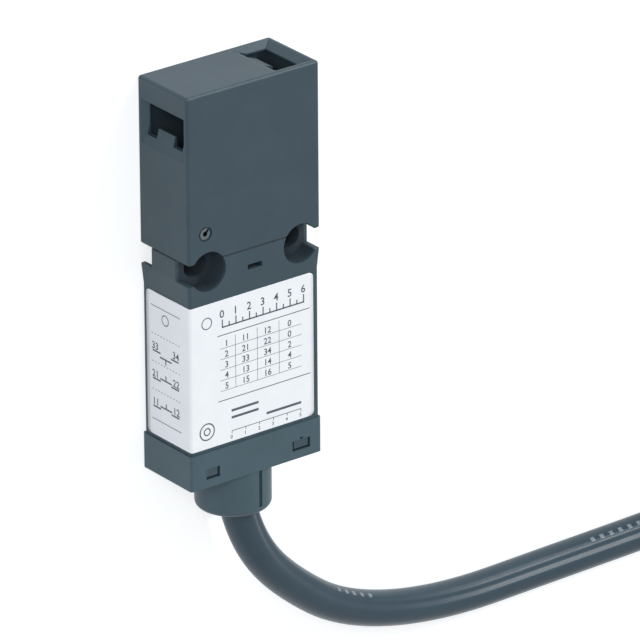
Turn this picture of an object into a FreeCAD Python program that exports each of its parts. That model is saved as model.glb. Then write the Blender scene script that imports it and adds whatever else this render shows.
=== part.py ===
"""Tongue interlock switch: a slim guard-door safety switch worked by a separate key.

Millimetres. The switch lies on its back: +Z leaves the front face, +X is to the right, and +Y
runs from the cable end to the head. The origin is on the back face, midway between the two
mounting slots. A key pushed into the top or the side of the head turns the cam, the cam lets the
plunger rise, and the plunger carries the moving contacts. The cable leaves a boss at the other
end, lies on the surface that the switch lies on, and ends in a coil.
"""
import FreeCAD, Part
import math
import os
import re

import Sketcher

V = FreeCAD.Vector
doc = FreeCAD.newDocument("TongueInterlockSwitch")
sheet = doc.addObject("Spreadsheet::Sheet", "Sizes")

# Every size that can be set by itself: name, value in millimetres or degrees, what it is.
SIZES = (
    ("width", 30.0, "head, waist and cap, left to right"),
    ("depth", 15.0, "back face to front face"),
    ("top_reach", 35.0, "mounting slots to the top of the head"),
    ("tail_reach", 43.0, "mounting slots to the end of the cap"),
    ("edge_round", 0.6, "rounding of the moulded outer edges"),
    ("fit_gap", 0.1, "gap round a moulded piece that slips into another"),
    ("run_gap", 0.05, "radial gap of a shaft or rod in its bore"),
    # head
    ("seam", 2.1, "mounting slots up to the seam between head and case"),
    ("seam_bevel", 0.18, "bevel on both sides of that seam"),
    ("head_wall", 1.5, "walls of the head"),
    ("entry_bar", 4.2, "thickness of the space for the key's cross bar"),
    ("entry_in", 2.2, "that space, in from the front and from the back"),
    ("entry_leg", 2.8, "width of the space for each leg of the key"),
    ("entry_back", 1.9, "how far the leg spaces reach beside the bar"),
    ("mouth_deep", 1.1, "depth of the sloped mouth round each entry"),
    ("mouth_side", 1.25, "slope of the mouth at the front and the back"),
    ("mouth_far", 1.7, "slope of the top mouth on the outer side"),
    ("mouth_ramp", 3.0, "slope of the top mouth on the inner side"),
    ("side_mouth_far", 0.7, "slope of the side mouth on the outer side"),
    ("side_mouth_ramp", 3.8, "slope of the side mouth on the inner side"),
    ("pin_in", 3.9, "spring pin, in from the left side"),
    ("pin_y", 7.6, "spring pin, above the mounting slots"),
    ("pin_radius", 1.1, "spring pin"),
    ("pin_wall", 0.6, "rolled strip of the spring pin"),
    ("pin_slit", 0.45, "slit of the spring pin"),
    ("pin_turn", -45.0, "turn of the slit from straight up"),
    ("pin_short", 0.15, "pin end below the surface at each end"),
    ("pin_sink_radius", 1.45, "relief round the pin's ends"),
    ("pin_sink_deep", 0.4, "depth of that relief"),
    # cam and its carrier
    ("cam_in", 12.7, "cam axis, in from the right side"),
    ("cam_y", 19.9, "cam axis, above the mounting slots"),
    ("cam_radius", 8.6, "round part of the cam"),
    ("cam_lift", 2.4, "how far the lobe lifts, and the plunger travels"),
    ("cam_turn", 70.0, "turn of the cam from no key to key home"),
    ("cam_dwell", 20.0, "flat top of the lobe, in degrees"),
    ("cam_rise", 25.0, "steep back of the lobe, in degrees"),
    ("cam_thick", 4.6, "cam"),
    ("cam_side_gap", 0.25, "cam to each cheek"),
    ("cam_tip_gap", 0.3, "lobe to the plunger's tip"),
    ("notch_wide", 4.6, "notch of the cam that takes the key's bar"),
    ("notch_deep", 4.2, "depth of that notch from the rim"),
    ("key_offset", 5.9, "cam axis to the near side of the key's bar"),
    ("shaft_radius", 1.5, "cam shaft"),
    ("cheek_radius", 3.4, "rounded end of each cheek"),
    ("cheek_gap", 0.5, "cheek of the carrier to the head's wall"),
    ("deck", 2.5, "floor of the carrier"),
    ("lobe_gap", 0.4, "lobe to the floor of the carrier"),
    ("tower_wide", 4.4, "tower of the case that the spring pin crosses"),
    ("tower_over", 2.0, "tower above the spring pin"),
    # waist and case
    ("waist_low", 2.0, "mounting slots down to the start of the taper"),
    ("taper_low", 6.0, "mounting slots down to the end of the taper"),
    ("label_relief", 0.3, "how far the case lies below head and cap"),
    ("case_wall", 1.7, "case wall, left and right"),
    ("face_wall", 1.7, "case wall, front and back"),
    ("chamber_top", 5.5, "mounting slots down to the contact chamber"),
    ("slot_in", 4.5, "middle of each mounting slot, in from the side"),
    ("slot_radius", 2.15, "mounting slot, half its width"),
    ("slot_stretch", 1.0, "mounting slot, its straight length"),
    ("bore_radius", 3.9, "recess for the screw head"),
    ("front_bore", 4.1, "depth of the front recess"),
    ("back_bore", 3.7, "depth of the back recess"),
    ("window_wide", 3.3, "latch window in the waist"),
    ("window_tall", 1.0, "latch window in the waist"),
    ("window_deep", 2.0, "latch window in the waist"),
    ("window_drop", 1.5, "latch window below the mounting slots"),
    # plunger and contacts
    ("rod_radius", 2.0, "plunger rod"),
    ("tip_round", 1.6, "rounding of the plunger's tip"),
    ("seal_thick", 1.2, "rubber seal round the plunger"),
    ("seal_radius", 3.6, "rubber seal round the plunger"),
    ("keeper_thick", 0.4, "metal keeper under the seal"),
    ("keeper_radius", 4.4, "metal keeper under the seal"),
    ("keeper_gap", 0.15, "keeper, and the flare of the seal, to the rod"),
    ("carriage_wide", 4.4, "contact carriage, left to right"),
    ("carriage_side", 0.6, "carriage to the chamber's walls, front and back"),
    ("carriage_gap", 0.3, "carriage to the block's beam at the top of its travel"),
    ("carriage_foot", 2.0, "carriage below its lower window"),
    ("window_wall", 0.7, "carriage wall beside its outer windows"),
    ("window_high", 3.5, "carriage window along the travel"),
    ("strip_thick", 0.5, "moving contact strip"),
    ("strip_reach", 7.6, "moving strip, middle to end"),
    ("contact_reach", 6.2, "middle of the plunger to each contact tip"),
    ("contact_tip", 0.5, "height of a contact tip"),
    ("contact_edge", 0.1, "edge of a contact tip in from the edge of its strip"),
    ("contact_gap", 0.15, "what is left between closed contacts"),
    ("pole_gap", 0.5, "gap between the strips of neighbouring poles"),
    ("blade_thick", 0.6, "fixed contact blade"),
    ("blade_in", 1.3, "middle of each blade's leg, in from the side of the contact block"),
    ("blade_tail", 2.0, "blade tail below the contact block"),
    ("block_wall", 1.9, "side wall of the contact block"),
    ("beam", 1.3, "top beam of the contact block"),
    ("beam_gap", 0.4, "hole of that beam round the rod"),
    ("shelf", 1.3, "shelf under the lower fixed contacts"),
    ("block_floor", 2.5, "floor of the contact block"),
    ("wiring_room", 11.5, "end of the cap up to the contact block"),
    ("return_long", 4.5, "return spring with no key in the switch"),
    ("spring_wire", 0.4, "return spring wire"),
    ("spring_radius", 1.7, "return spring, to the middle of its wire"),
    ("spring_turns", 4.0, "return spring"),
    ("small_wire", 0.25, "contact spring wire"),
    ("small_radius", 0.8, "contact spring, to the middle of its wire"),
    ("small_turns", 4.0, "contact spring"),
    ("stud_radius", 1.0, "studs inside the return spring"),
    ("stud_high", 1.2, "studs inside the return spring"),
    # cap, gasket, gland and label
    ("cap_high", 7.0, "cap along the switch"),
    ("cap_wall", 1.0, "cap wall round the case's neck"),
    ("cap_floor", 1.0, "cap wall across the end"),
    ("gasket_thick", 0.5, "gasket between neck and cap"),
    ("snap_left_in", 5.0, "left snap window, in from the left side"),
    ("snap_left_wide", 3.1, "left snap window"),
    ("snap_right_in", 4.7, "right snap window, in from the right side"),
    ("snap_right_wide", 4.1, "right snap window"),
    ("snap_tall", 2.1, "snap window"),
    ("snap_low", 1.6, "end of the cap up to the snap window"),
    ("snap_gap", 0.45, "gap beside and below each snap tooth"),
    ("snap_notch_wide", 0.7, "notch above the right snap window"),
    ("snap_notch_high", 0.4, "notch above the right snap window"),
    ("snap_short", 0.2, "tooth below the cap's surface"),
    ("boss_in", 0.3, "cable boss, in from the front and from the back"),
    ("boss_long", 9.0, "cable boss"),
    ("boss_round", 1.1, "rounding of the boss's end"),
    ("groove_x", 1.1, "groove down the front of the boss, right of its middle"),
    ("groove_wide", 0.8, "that groove"),
    ("groove_deep", 0.6, "depth of that groove"),
    ("groove_stop", 1.4, "groove short of the boss's end"),
    ("bush_less", 0.35, "surface of the bush, inside midway between the cable and the boss"),
    ("bush_step", 0.5, "neck of the bush in from the bush"),
    ("boss_lip", 1.2, "lip of the boss round the bush's neck"),
    ("flange_over", 0.3, "flange of the bush beyond the bush, inside the cap"),
    ("flange_thick", 1.1, "flange of the bush inside the cap"),
    ("bush_out", 0.4, "bush beyond the boss"),
    ("bush_bevel", 0.2, "bevel of that end of the bush"),
    ("collar_radius", 4.4, "crimp collar on the sheath"),
    ("collar_long", 3.0, "crimp collar on the sheath"),
    ("label_thick", 0.12, "label"),
    ("label_in", 1.6, "label's right edge, in from the right side"),
    ("label_back", 1.5, "back face up to the label's edge on the left side"),
    ("label_top", 6.5, "mounting slots down to the label"),
    ("label_margin", 0.75, "cap up to the label"),
    ("label_round", 1.0, "corners of the label"),
    # cable
    ("cable_radius", 3.5, "cable"),
    ("cable_start", 6.0, "end of the cap up to the end of the sheath"),
    ("cable_length", 1000.0, "cable beyond the boss, with its coil"),
    ("core_radius", 0.7, "insulated core"),
    ("core_ring", 1.9, "cores about the middle of the cable"),
    ("core_bare", 0.4, "bare end of a core"),
    ("core_long", 22.0, "cores beyond the cut sheath"),
    ("bare_long", 5.0, "bare ends beyond the cores"),
    ("core_pitch", 1.15, "core to core where they lie side by side"),
    ("core_step", 0.9, "every second core above its neighbours"),
    ("core_lift", 0.2, "cores above the turn that they lie on"),
    ("core_gap", 0.3, "cut sheath to the start of the cores"),
    ("coil_radius", 38.0, "coil, to the middle of its turns"),
    ("coil_edge", 2.8, "rounding of the coil's lower rim"),
    ("tie_thick", 0.8, "cable tie"),
    ("tie_wide", 3.0, "cable tie"),
    ("tie_round", 0.7, "corners of the tie's strap"),
    ("tie_head_thick", 2.0, "head of the tie, beyond the strap"),
    ("tie_head_over", 0.8, "head of the tie beside the strap"),
    ("tie_angle", -45.0, "where the tie sits on the coil"),
)

for row, (name, number, note) in enumerate(SIZES, start=1):
    sheet.set("A%d" % row, note)
    sheet.set("B%d" % row, str(number))
    sheet.setAlias("B%d" % row, name)

# Sizes that follow from others: name, sum, what it is.
DERIVED = (
    ("slot_pitch", "width - 2 * slot_in", "mounting slot to mounting slot"),
    ("cam_x", "width / 2 - cam_in", "cam axis, from the middle of the switch"),
    ("pin_x", "pin_in - width / 2", "spring pin, from the middle of the switch"),
    ("entry_long", "depth - 2 * entry_in", "space for the key's cross bar, back to front"),
    ("cheek_thick", "(depth - cam_thick) / 2 - cam_side_gap - head_wall - cheek_gap", "cheek of the carrier"),
    ("block_end", "tail_reach - wiring_room", "mounting slots down to the end of the block"),
    ("carriage_end", "block_end - block_floor - return_long", "mounting slots down to the carriage's end"),
    ("lower_window", "carriage_end - carriage_foot - window_high", "mounting slots down to the lower window"),
    ("carriage_deep", "depth - 2 * (label_relief + face_wall + carriage_side)", "carriage, back to front"),
    ("strip_deep", "(carriage_deep - 2 * (window_wall + fit_gap + pole_gap)) / 3", "strips, back to front"),
    ("pole_pitch", "strip_deep + pole_gap", "middle pole to each outer pole"),
    ("contact_radius", "strip_deep / 2 - contact_edge", "contact tip"),
    ("block_wide", "width / 2 - label_relief - case_wall - fit_gap", "middle to the side of the block"),
    ("blade_x", "block_wide - blade_in", "middle of the switch to the middle of each blade's leg"),
    ("boss_radius", "depth / 2 - boss_in", "cable boss"),
    ("bush_radius", "(boss_radius + cable_radius) / 2 - bush_less", "rubber bush in the boss"),
    ("bush_neck", "bush_radius - bush_step", "neck of the bush in the boss's lip"),
    ("bush_flange", "bush_radius + flange_over", "flange of the bush inside the cap"),
    ("label_right", "width / 2 - label_in", "middle of the switch to the label's right edge"),
)

for row, (name, total, note) in enumerate(DERIVED, start=len(SIZES) + 1):
    sheet.set("A%d" % row, note)
    sheet.set("B%d" % row, "=" + total)
    sheet.setAlias("B%d" % row, name)
doc.recompute()

# Places that several pieces share, as sums of sizes. x, y and z are the switch's own axes.
HALF = "width / 2"
MIDDLE = "depth / 2"
SPIGOT_TOP = "(cam_y - cam_radius - cam_lift - lobe_gap - deck)"
DECK_TOP = "(cam_y - cam_radius - cam_lift - lobe_gap)"
TIP = "(cam_y - cam_radius - cam_lift - cam_tip_gap)"
HEAD_LEFT = "(head_wall - width / 2)"
HEAD_RIGHT = "(width / 2 - head_wall)"
TOWER_RIGHT = "(pin_x + tower_wide / 2)"
CHAMBER_RIGHT = "(width / 2 - label_relief - case_wall)"
CHAMBER_BACK = "(label_relief + face_wall)"
CHAMBER_FRONT = "(depth - label_relief - face_wall)"
CAP_TOP = "(cap_high - tail_reach)"
FLOOR_TOP = "(cap_floor - tail_reach)"
NECK_END = "(cap_floor + gasket_thick - tail_reach)"
SEAL_END = "(0 - chamber_top - seal_thick)"
BLOCK_TOP = "(0 - chamber_top - seal_thick - keeper_thick)"
CARRIAGE_TOP = "(0 - chamber_top - seal_thick - keeper_thick - beam - carriage_gap - cam_lift)"
BLADE_TOP = "(0 - chamber_top - seal_thick - keeper_thick - beam)"
UPPER_STRIP = ("(0 - chamber_top - seal_thick - keeper_thick - beam - blade_thick - contact_tip"
               " - contact_gap - cam_lift - contact_tip)")
LOWER_STRIP = "(0 - lower_window - window_high)"
LOWER_BLADE = "(0 - lower_window - window_high - 2 * contact_tip - contact_gap)"
BLOCK_FLOOR_TOP = "(block_floor - block_end)"
BLADE_END = "(0 - block_end - blade_tail)"
BOSS_END = "(0 - tail_reach - boss_long)"
POLES = ("(depth / 2 - pole_pitch)", "(depth / 2)", "(depth / 2 + pole_pitch)")
BOTH_SIDES = (("Left", "-"), ("Right", "+"))
SNAP_LEFT = ("(snap_left_in - snap_left_wide / 2 - width / 2)",
             "(snap_left_in + snap_left_wide / 2 - width / 2)")
SNAP_RIGHT = ("(width / 2 - snap_right_in - snap_right_wide / 2)",
              "(width / 2 - snap_right_in + snap_right_wide / 2)")

# Lengths that differ by less count as equal, in millimetres.
SAME = 1e-3

# Directions of the cam's two notches before the key turns it, in degrees from +X.
NOTCH_FACINGS = (45, 135)

# Flat sides of the section of each spring's wire.
WIRE_SIDES = 8

# Cable route from the end of the sheath inside the cap to the coil, chosen by hand.
ROUTE = (V(0, -37, 7.5), V(0, -40, 7.5), V(0, -50, 7.5), V(4, -62, 7.5), V(12, -71.7, 6.7),
         V(27, -83.1, 5.5), V(50.5, -89.4, 4.2), V(79, -89.4, 3.5), V(105, -89.1, 3.5), V(132, -88.1, 3.7),
         V(160, -85.9, 4.3))

# How the coil is laid: degrees of each stretch, and where it lies, 1 in the outer turn, 0 in the
# inner one and 0.5 on average while it changes over. What is left of the cable lies outside.
COIL_PLAN = ((300, 1), (55, 0.5), (245, 0), (55, 0), (250, 0), (55, 0.5))

# Order in which the cores fan out, and the shares of their length at which the fan starts and is
# half done.
FAN_ORDER = (3, 2, 4, 1, 5, 0)
FAN_START = 0.3
FAN_HALF = 0.65


def bound(text):
    """The expression that reads the sheet's cells, from a sum of size names."""
    return re.sub(r"[a-z_]+", lambda word: "Sizes." + word.group(), text)


def value(text):
    """What a sum of size names comes to now."""
    return float(sheet.evalExpression(bound(text)))


def bind(item, **links):
    """Binds properties of an object to sums of sizes; a double underscore stands for a dot."""
    for name, text in links.items():
        item.setExpression(name.replace("__", "."), bound(text))


class Piece:
    """A sub-part made as a PartDesign body, feature by feature."""

    def __init__(self, label):
        self.body = doc.addObject("PartDesign::Body", label)

    def sketch(self, name, role, offset):
        """An empty sketch parallel to one of the body's own planes."""
        plane = next(f for f in self.body.Origin.OriginFeatures if f.Role == role)
        sketch = self.body.newObject("Sketcher::SketchObject", name)
        sketch.AttachmentSupport = [(plane, "")]
        sketch.MapMode = "FlatFace"
        sketch.setExpression("AttachmentOffset.Base.z", bound(offset))
        return sketch

    def outline(self, sketch, corners):
        """Adds a closed outline whose corners are pinned to sums of sizes."""
        first = sketch.GeometryCount
        count = len(corners)
        spots = [V(value(x), value(y), 0) for x, y in corners]
        for i in range(count):
            sketch.addGeometry(Part.LineSegment(spots[i], spots[(i + 1) % count]), False)
        for i in range(count):
            follow = first + (i + 1) % count
            sketch.addConstraint(Sketcher.Constraint("Coincident", first + i, 2, follow, 1))
        for i, (x, y) in enumerate(corners):
            for kind, text, now in (("DistanceX", x, spots[i].x), ("DistanceY", y, spots[i].y)):
                line = sketch.addConstraint(Sketcher.Constraint(kind, -1, 1, first + i, 1, now))
                link = "%s_%d" % (kind, first + i)
                sketch.renameConstraint(line, link)
                sketch.setExpression("Constraints." + link, bound(text))

    def circle(self, sketch, x, y, radius):
        """Adds a circle pinned to sums of sizes."""
        middle = V(value(x), value(y), 0)
        index = sketch.addGeometry(Part.Circle(middle, V(0, 0, 1), value(radius)), False)
        links = (("Radius", (index, value(radius)), radius),
                 ("DistanceX", (-1, 1, index, 3, middle.x), x),
                 ("DistanceY", (-1, 1, index, 3, middle.y), y))
        for kind, place, text in links:
            line = sketch.addConstraint(Sketcher.Constraint(kind, *place))
            link = "%s_%d" % (kind, index)
            sketch.renameConstraint(line, link)
            sketch.setExpression("Constraints." + link, bound(text))

    def extrude(self, name, role, low, high, draw, cut=False):
        """Pads or cuts a sketched outline between two levels along the plane's axis."""
        start = "0 - (%s)" % high if role == "XZ_Plane" else low
        sketch = self.sketch(name + "Sketch", role, start)
        draw(sketch)
        before = 0.0 if self.body.Shape.isNull() else self.body.Shape.Volume
        feature = self.body.newObject("PartDesign::Pocket" if cut else "PartDesign::Pad", name)
        feature.Profile = sketch
        feature.Reversed = cut
        feature.setExpression("Length", bound("%s - (%s)" % (high, low)))
        doc.recompute()
        grown = self.body.Shape.Volume - before
        assert (grown < 0) == cut and abs(grown) > 1e-6, "%s changed nothing" % name
        return feature

    def block(self, name, x, y, z, cut=False):
        """Adds or cuts a rectangular block; each span is a pair of sums of sizes."""
        def draw(sketch):
            self.outline(sketch, [(x[0], y[0]), (x[1], y[0]), (x[1], y[1]), (x[0], y[1])])
        return self.extrude(name, "XY_Plane", z[0], z[1], draw, cut)

    def plate(self, name, corners, low, high, role="XY_Plane"):
        """Adds a plate: an outline of pinned corners between two levels."""
        return self.extrude(name, role, low, high, lambda sketch: self.outline(sketch, corners))

    def round_bar(self, name, role, low, high, x, y, radius, cut=False):
        """Adds or cuts a cylinder normal to one of the body's planes."""
        return self.extrude(name, role, low, high, lambda s: self.circle(s, x, y, radius), cut)

    def revolve(self, name, profile, x, z, cut=False):
        """Turns an outline of (radius, y) corners about a line along Y through x, z."""
        sketch = self.sketch(name + "Sketch", "XY_Plane", z)
        self.outline(sketch, [("%s + %s" % (x, r), y) for r, y in profile])
        sketch.addGeometry(Part.LineSegment(V(value(x), 0, 0), V(value(x), 1, 0)), True)
        axis = sketch.GeometryCount - 1
        sketch.addConstraint(Sketcher.Constraint("Vertical", axis))
        line = sketch.addConstraint(Sketcher.Constraint("DistanceX", -1, 1, axis, 1, value(x)))
        sketch.renameConstraint(line, "axis")
        sketch.setExpression("Constraints.axis", bound(x))
        sketch.addConstraint(Sketcher.Constraint("DistanceY", -1, 1, axis, 1, 0))
        sketch.addConstraint(Sketcher.Constraint("DistanceY", axis, 1, axis, 2, 1))
        feature = self.body.newObject("PartDesign::Groove" if cut else "PartDesign::Revolution", name)
        feature.Profile = sketch
        feature.ReferenceAxis = (sketch, ["Axis0"])
        feature.Angle = 360
        doc.recompute()
        return feature

    def wedge(self, name, **sizes):
        """Cuts a frustum whose two rectangular ends are given by sums of sizes."""
        wedge = self.body.newObject("PartDesign::SubtractiveWedge", name)
        turn = sizes.pop("turn", None)
        if turn:
            wedge.Placement = FreeCAD.Placement(V(0, 0, 0), turn)
        bind(wedge, **sizes)
        doc.recompute()
        return wedge

    def soften(self, name, radius, chosen, kind="PartDesign::Fillet"):
        """Rounds or bevels the edges that a test picks."""
        base = self.body.Tip
        edges = ["Edge%d" % n for n, edge in enumerate(base.Shape.Edges, start=1) if chosen(edge)]
        assert edges, "%s found no edge" % name
        feature = self.body.newObject(kind, name)
        feature.Base = (base, edges)
        feature.setExpression("Radius" if kind.endswith("Fillet") else "Size", bound(radius))
        doc.recompute()
        return feature


def near(number, target):
    """Whether two lengths agree to a thousandth of a millimetre."""
    return abs(number - target) < SAME


def ends(edge):
    """Both end points of an edge."""
    return [vertex.Point for vertex in edge.Vertexes]


def along(edge, axis):
    """Whether an edge is straight and parallel to an axis, 0 for x, 1 for y or 2 for z."""
    points = ends(edge)
    if edge.Curve.TypeId != "Part::GeomLine" or len(points) < 2:
        return False
    run = points[1] - points[0]
    return all(near(run[i], 0) for i in range(3) if i != axis)


def outer_corner(edge):
    """Whether an edge runs along Y at one of the four outer corners of the full section."""
    if not along(edge, 1):
        return False
    point = ends(edge)[0]
    return near(abs(point.x), value(HALF)) and (near(point.z, 0) or near(point.z, value("depth")))


def at_level(edge, height):
    """Whether all of an edge lies at one height along Y, given as a sum of sizes."""
    return all(near(point.y, value(height)) for point in ends(edge))


def case_corner(edge):
    """Whether an edge runs down an outer corner of the case: waist, taper or barrel."""
    points = ends(edge)
    side = value("width / 2 - label_relief") - SAME
    face = value("depth / 2 - label_relief") - SAME
    at_corner = all(abs(p.x) > side and abs(p.z - value(MIDDLE)) > face for p in points)
    return at_corner and abs(points[0].y - points[-1].y) > value("edge_round")


def through(edge, x, z):
    """Whether an edge runs along Y through a place in x and z."""
    return along(edge, 1) and near(ends(edge)[0].x, x) and near(ends(edge)[0].z, z)


def feature(label, shape):
    """A sub-part whose shape is worked out in code."""
    item = doc.addObject("Part::Feature", label)
    item.Shape = shape
    return item


def rounded_path(points, share=0.45):
    """A wire of straight runs joined by tangent arcs, and the radius of each arc.

    Each arc starts a fixed share of the shorter run away from its point. A point on a straight run
    gets no arc.
    """
    edges, radii, last = [], [], points[0]
    for before, point, after in zip(points, points[1:], points[2:]):
        back, ahead = before - point, after - point
        reach = share * min(back.Length, ahead.Length)
        half_turn = (math.pi - back.getAngle(ahead)) / 2
        if half_turn < SAME:
            continue
        radius = reach / math.tan(half_turn)
        back.normalize()
        ahead.normalize()
        start, end = point + back * reach, point + ahead * reach
        inward = back + ahead
        inward.normalize()
        middle = point + inward * (radius / math.cos(half_turn) - radius)
        edges += [Part.LineSegment(last, start).toShape(), Part.Arc(start, middle, end).toShape()]
        radii.append(radius)
        last = end
    edges.append(Part.LineSegment(last, points[-1]).toShape())
    return Part.Wire(edges), radii


def tube(points, radius):
    """A round tube along a rounded path, with the radii of its bends."""
    path, radii = rounded_path(points)
    run = points[1] - points[0]
    ring = Part.Wire([Part.Circle(points[0], run, radius).toShape()])
    solid = path.makePipeShell([ring], True, False)
    expected = math.pi * radius ** 2 * path.Length
    assert abs(solid.Volume / expected - 1) < 0.01, "tube volume is off"
    return solid, radii, path.Length


def coil_spring(radius, wire, turns, base, height):
    """A helical spring along +Y that stands on a point and just fills a height.

    The wire's section has a few flat sides instead of a circle, which keeps the faces light.
    """
    pitch = (height - wire) / turns
    helix = Part.makeHelix(pitch, height - wire, radius)
    angles = [2 * math.pi * side / WIRE_SIDES for side in range(WIRE_SIDES + 1)]
    corners = [V(radius + wire / 2 * math.cos(angle), 0, wire / 2 * math.sin(angle)) for angle in angles]
    ring = Part.makePolygon(corners)
    solid = Part.Wire(helix.Edges).makePipeShell([ring], True, True)
    solid.rotate(V(0, 0, 0), V(1, 0, 0), -90)
    solid.translate(base + V(0, wire / 2, 0))
    return solid


# ---------------------------------------------------------------- head

def entry(piece, name, bar, leg):
    """Cuts one C-shaped way in for the key: a bar, and a leg beside each of its ends.

    The bar and the leg are each a span along x and a span along y.
    """
    back, front = "depth / 2 - entry_long / 2", "depth / 2 + entry_long / 2"
    piece.block(name + "Bar", *bar, (back, front), True)
    piece.block(name + "BackLeg", *leg, (back, back + " + entry_leg"), True)
    piece.block(name + "FrontLeg", *leg, (front + " - entry_leg", front), True)


def head_housing():
    """Upper shell: holds the cam, is open below, and has two sloped ways in for the key."""
    head = Piece("head_housing")
    head.block("Shell", ("0 - " + HALF, HALF), ("seam", "top_reach"), ("0", "depth"))
    head.soften("OuterEdges", "edge_round", lambda e: outer_corner(e) or at_level(e, "top_reach"))
    head.soften("SeamBevel", "seam_bevel", lambda e: at_level(e, "seam"), "PartDesign::Chamfer")
    head.block("Cavity", (HEAD_LEFT, HEAD_RIGHT), ("seam", "top_reach - head_wall"),
               ("head_wall", "depth - head_wall"), True)
    # way in from the top
    bar_low = "cam_x + key_offset"
    bar_high = bar_low + " + entry_bar"
    head.wedge("TopMouth", Xmin=bar_low, Xmax=bar_high, X2min=bar_low + " - mouth_ramp",
               X2max=bar_high + " + mouth_far", Ymin="top_reach - mouth_deep", Ymax="top_reach",
               Zmin="depth / 2 - entry_long / 2", Zmax="depth / 2 + entry_long / 2",
               Z2min="depth / 2 - entry_long / 2 - mouth_side",
               Z2max="depth / 2 + entry_long / 2 + mouth_side")
    wall = ("top_reach - head_wall", "top_reach")
    entry(head, "Top", ((bar_low, bar_high), wall), ((bar_low + " - entry_back", bar_low), wall))
    # way in from the left side: the wedge is built as for a top entry, then turned by 90 degrees
    bar_low = "cam_y + key_offset"
    bar_high = bar_low + " + entry_bar"
    head.wedge("SideMouth", turn=FreeCAD.Rotation(V(0, 0, 1), 90), Xmin=bar_low, Xmax=bar_high,
               X2min=bar_low + " - side_mouth_ramp", X2max=bar_high + " + side_mouth_far",
               Ymin="width / 2 - mouth_deep", Ymax="width / 2",
               Zmin="depth / 2 - entry_long / 2", Zmax="depth / 2 + entry_long / 2",
               Z2min="depth / 2 - entry_long / 2 - mouth_side",
               Z2max="depth / 2 + entry_long / 2 + mouth_side")
    wall = ("0 - " + HALF, HEAD_LEFT)
    entry(head, "Side", (wall, (bar_low, bar_high)), (wall, (bar_low + " - entry_back", bar_low)))
    screw_recesses(head)
    head.round_bar("PinHole", "XY_Plane", "0", "depth", "pin_x", "pin_y", "pin_radius", True)
    head.round_bar("PinReliefFront", "XY_Plane", "depth - pin_sink_deep", "depth", "pin_x", "pin_y",
                   "pin_sink_radius", True)
    head.round_bar("PinReliefBack", "XY_Plane", "0", "pin_sink_deep", "pin_x", "pin_y",
                   "pin_sink_radius", True)


def screw_recesses(piece):
    """Cuts the round recesses for the screw heads, front and back."""
    for side, sign in BOTH_SIDES:
        for face, low, high in (("Front", "depth - front_bore", "depth"), ("Back", "0", "back_bore")):
            piece.round_bar(side + face + "Recess", "XY_Plane", low, high, "0 %s slot_pitch / 2" % sign, "0",
                            "bore_radius", True)


def head_pin():
    """Slotted spring pin through head and case tower: a rolled strip with an open slit."""
    pin = Piece("head_pin")
    span = ("pin_short", "depth - pin_short")
    pin.round_bar("Roll", "XY_Plane", span[0], span[1], "pin_x", "pin_y", "pin_radius")
    pin.round_bar("Bore", "XY_Plane", span[0], span[1], "pin_x", "pin_y", "pin_radius - pin_wall", True)
    pin.block("Slit", ("pin_x - pin_slit / 2", "pin_x + pin_slit / 2"), ("pin_y", "pin_y + 2 * pin_radius"),
              span, True)
    turn = FreeCAD.Rotation(V(0, 0, 1), value("pin_turn"))
    pin.body.Placement = FreeCAD.Placement(V(0, 0, 0), turn, V(value("pin_x"), value("pin_y"), 0))


# ---------------------------------------------------------------- cam

def cam_radius_at(angle):
    """Radius of the cam's edge at an angle in degrees, from its lobe's linear flank.

    The lobe faces the plunger, at -90 degrees. Ahead of it the radius falls evenly with the
    angle, so that the plunger's travel is in proportion to the cam's turn.
    """
    return value("cam_radius + cam_lift") - value("cam_lift") * (angle + 90) / value("cam_turn")


def operating_cam():
    """Cam with a linear lobe for the plunger and a notch for the key at each way in."""
    centre = V(value("cam_x"), value("cam_y"), 0)

    def at(radius, angle):
        turn = math.radians(angle)
        return centre + V(radius * math.cos(turn), radius * math.sin(turn), 0)

    low, high = value("cam_radius"), value("cam_radius + cam_lift")
    flank_end = -90 + value("cam_turn")
    dwell_start = -90 - value("cam_dwell")
    rise_start = dwell_start - value("cam_rise")
    steps = 8
    spots = [-90 + value("cam_turn") * i / steps for i in range(steps + 1)]
    flank = Part.BSplineCurve()
    flank.interpolate([at(cam_radius_at(angle), angle) for angle in spots])
    round_part = Part.Arc(at(low, flank_end), at(low, (flank_end + rise_start + 360) / 2),
                          at(low, rise_start))
    rise = Part.LineSegment(at(low, rise_start), at(high, dwell_start))
    dwell = Part.Arc(at(high, dwell_start), at(high, dwell_start / 2 - 45), at(high, -90))
    edge = Part.Wire([piece.toShape() for piece in (flank, round_part, rise, dwell)])
    thick = value("cam_thick")
    base = value(MIDDLE) - thick / 2
    cam = Part.Face(edge).extrude(V(0, 0, thick)).translated(V(0, 0, base))
    for facing in NOTCH_FACINGS:
        floor = value("cam_radius - notch_deep + notch_wide / 2")
        wide = value("notch_wide")
        root = Part.makeCylinder(wide / 2, thick, V(floor, 0, base))
        mouth = Part.makeBox(low, wide, thick, V(floor, -wide / 2, base))
        notch = root.fuse(mouth)
        notch.rotate(V(0, 0, 0), V(0, 0, 1), facing)
        cam = cam.cut(notch.translated(centre))
    bore = Part.makeCylinder(value("shaft_radius + run_gap"), thick, centre + V(0, 0, base))
    feature("operating_cam", cam.cut(bore).removeSplitter())


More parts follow.
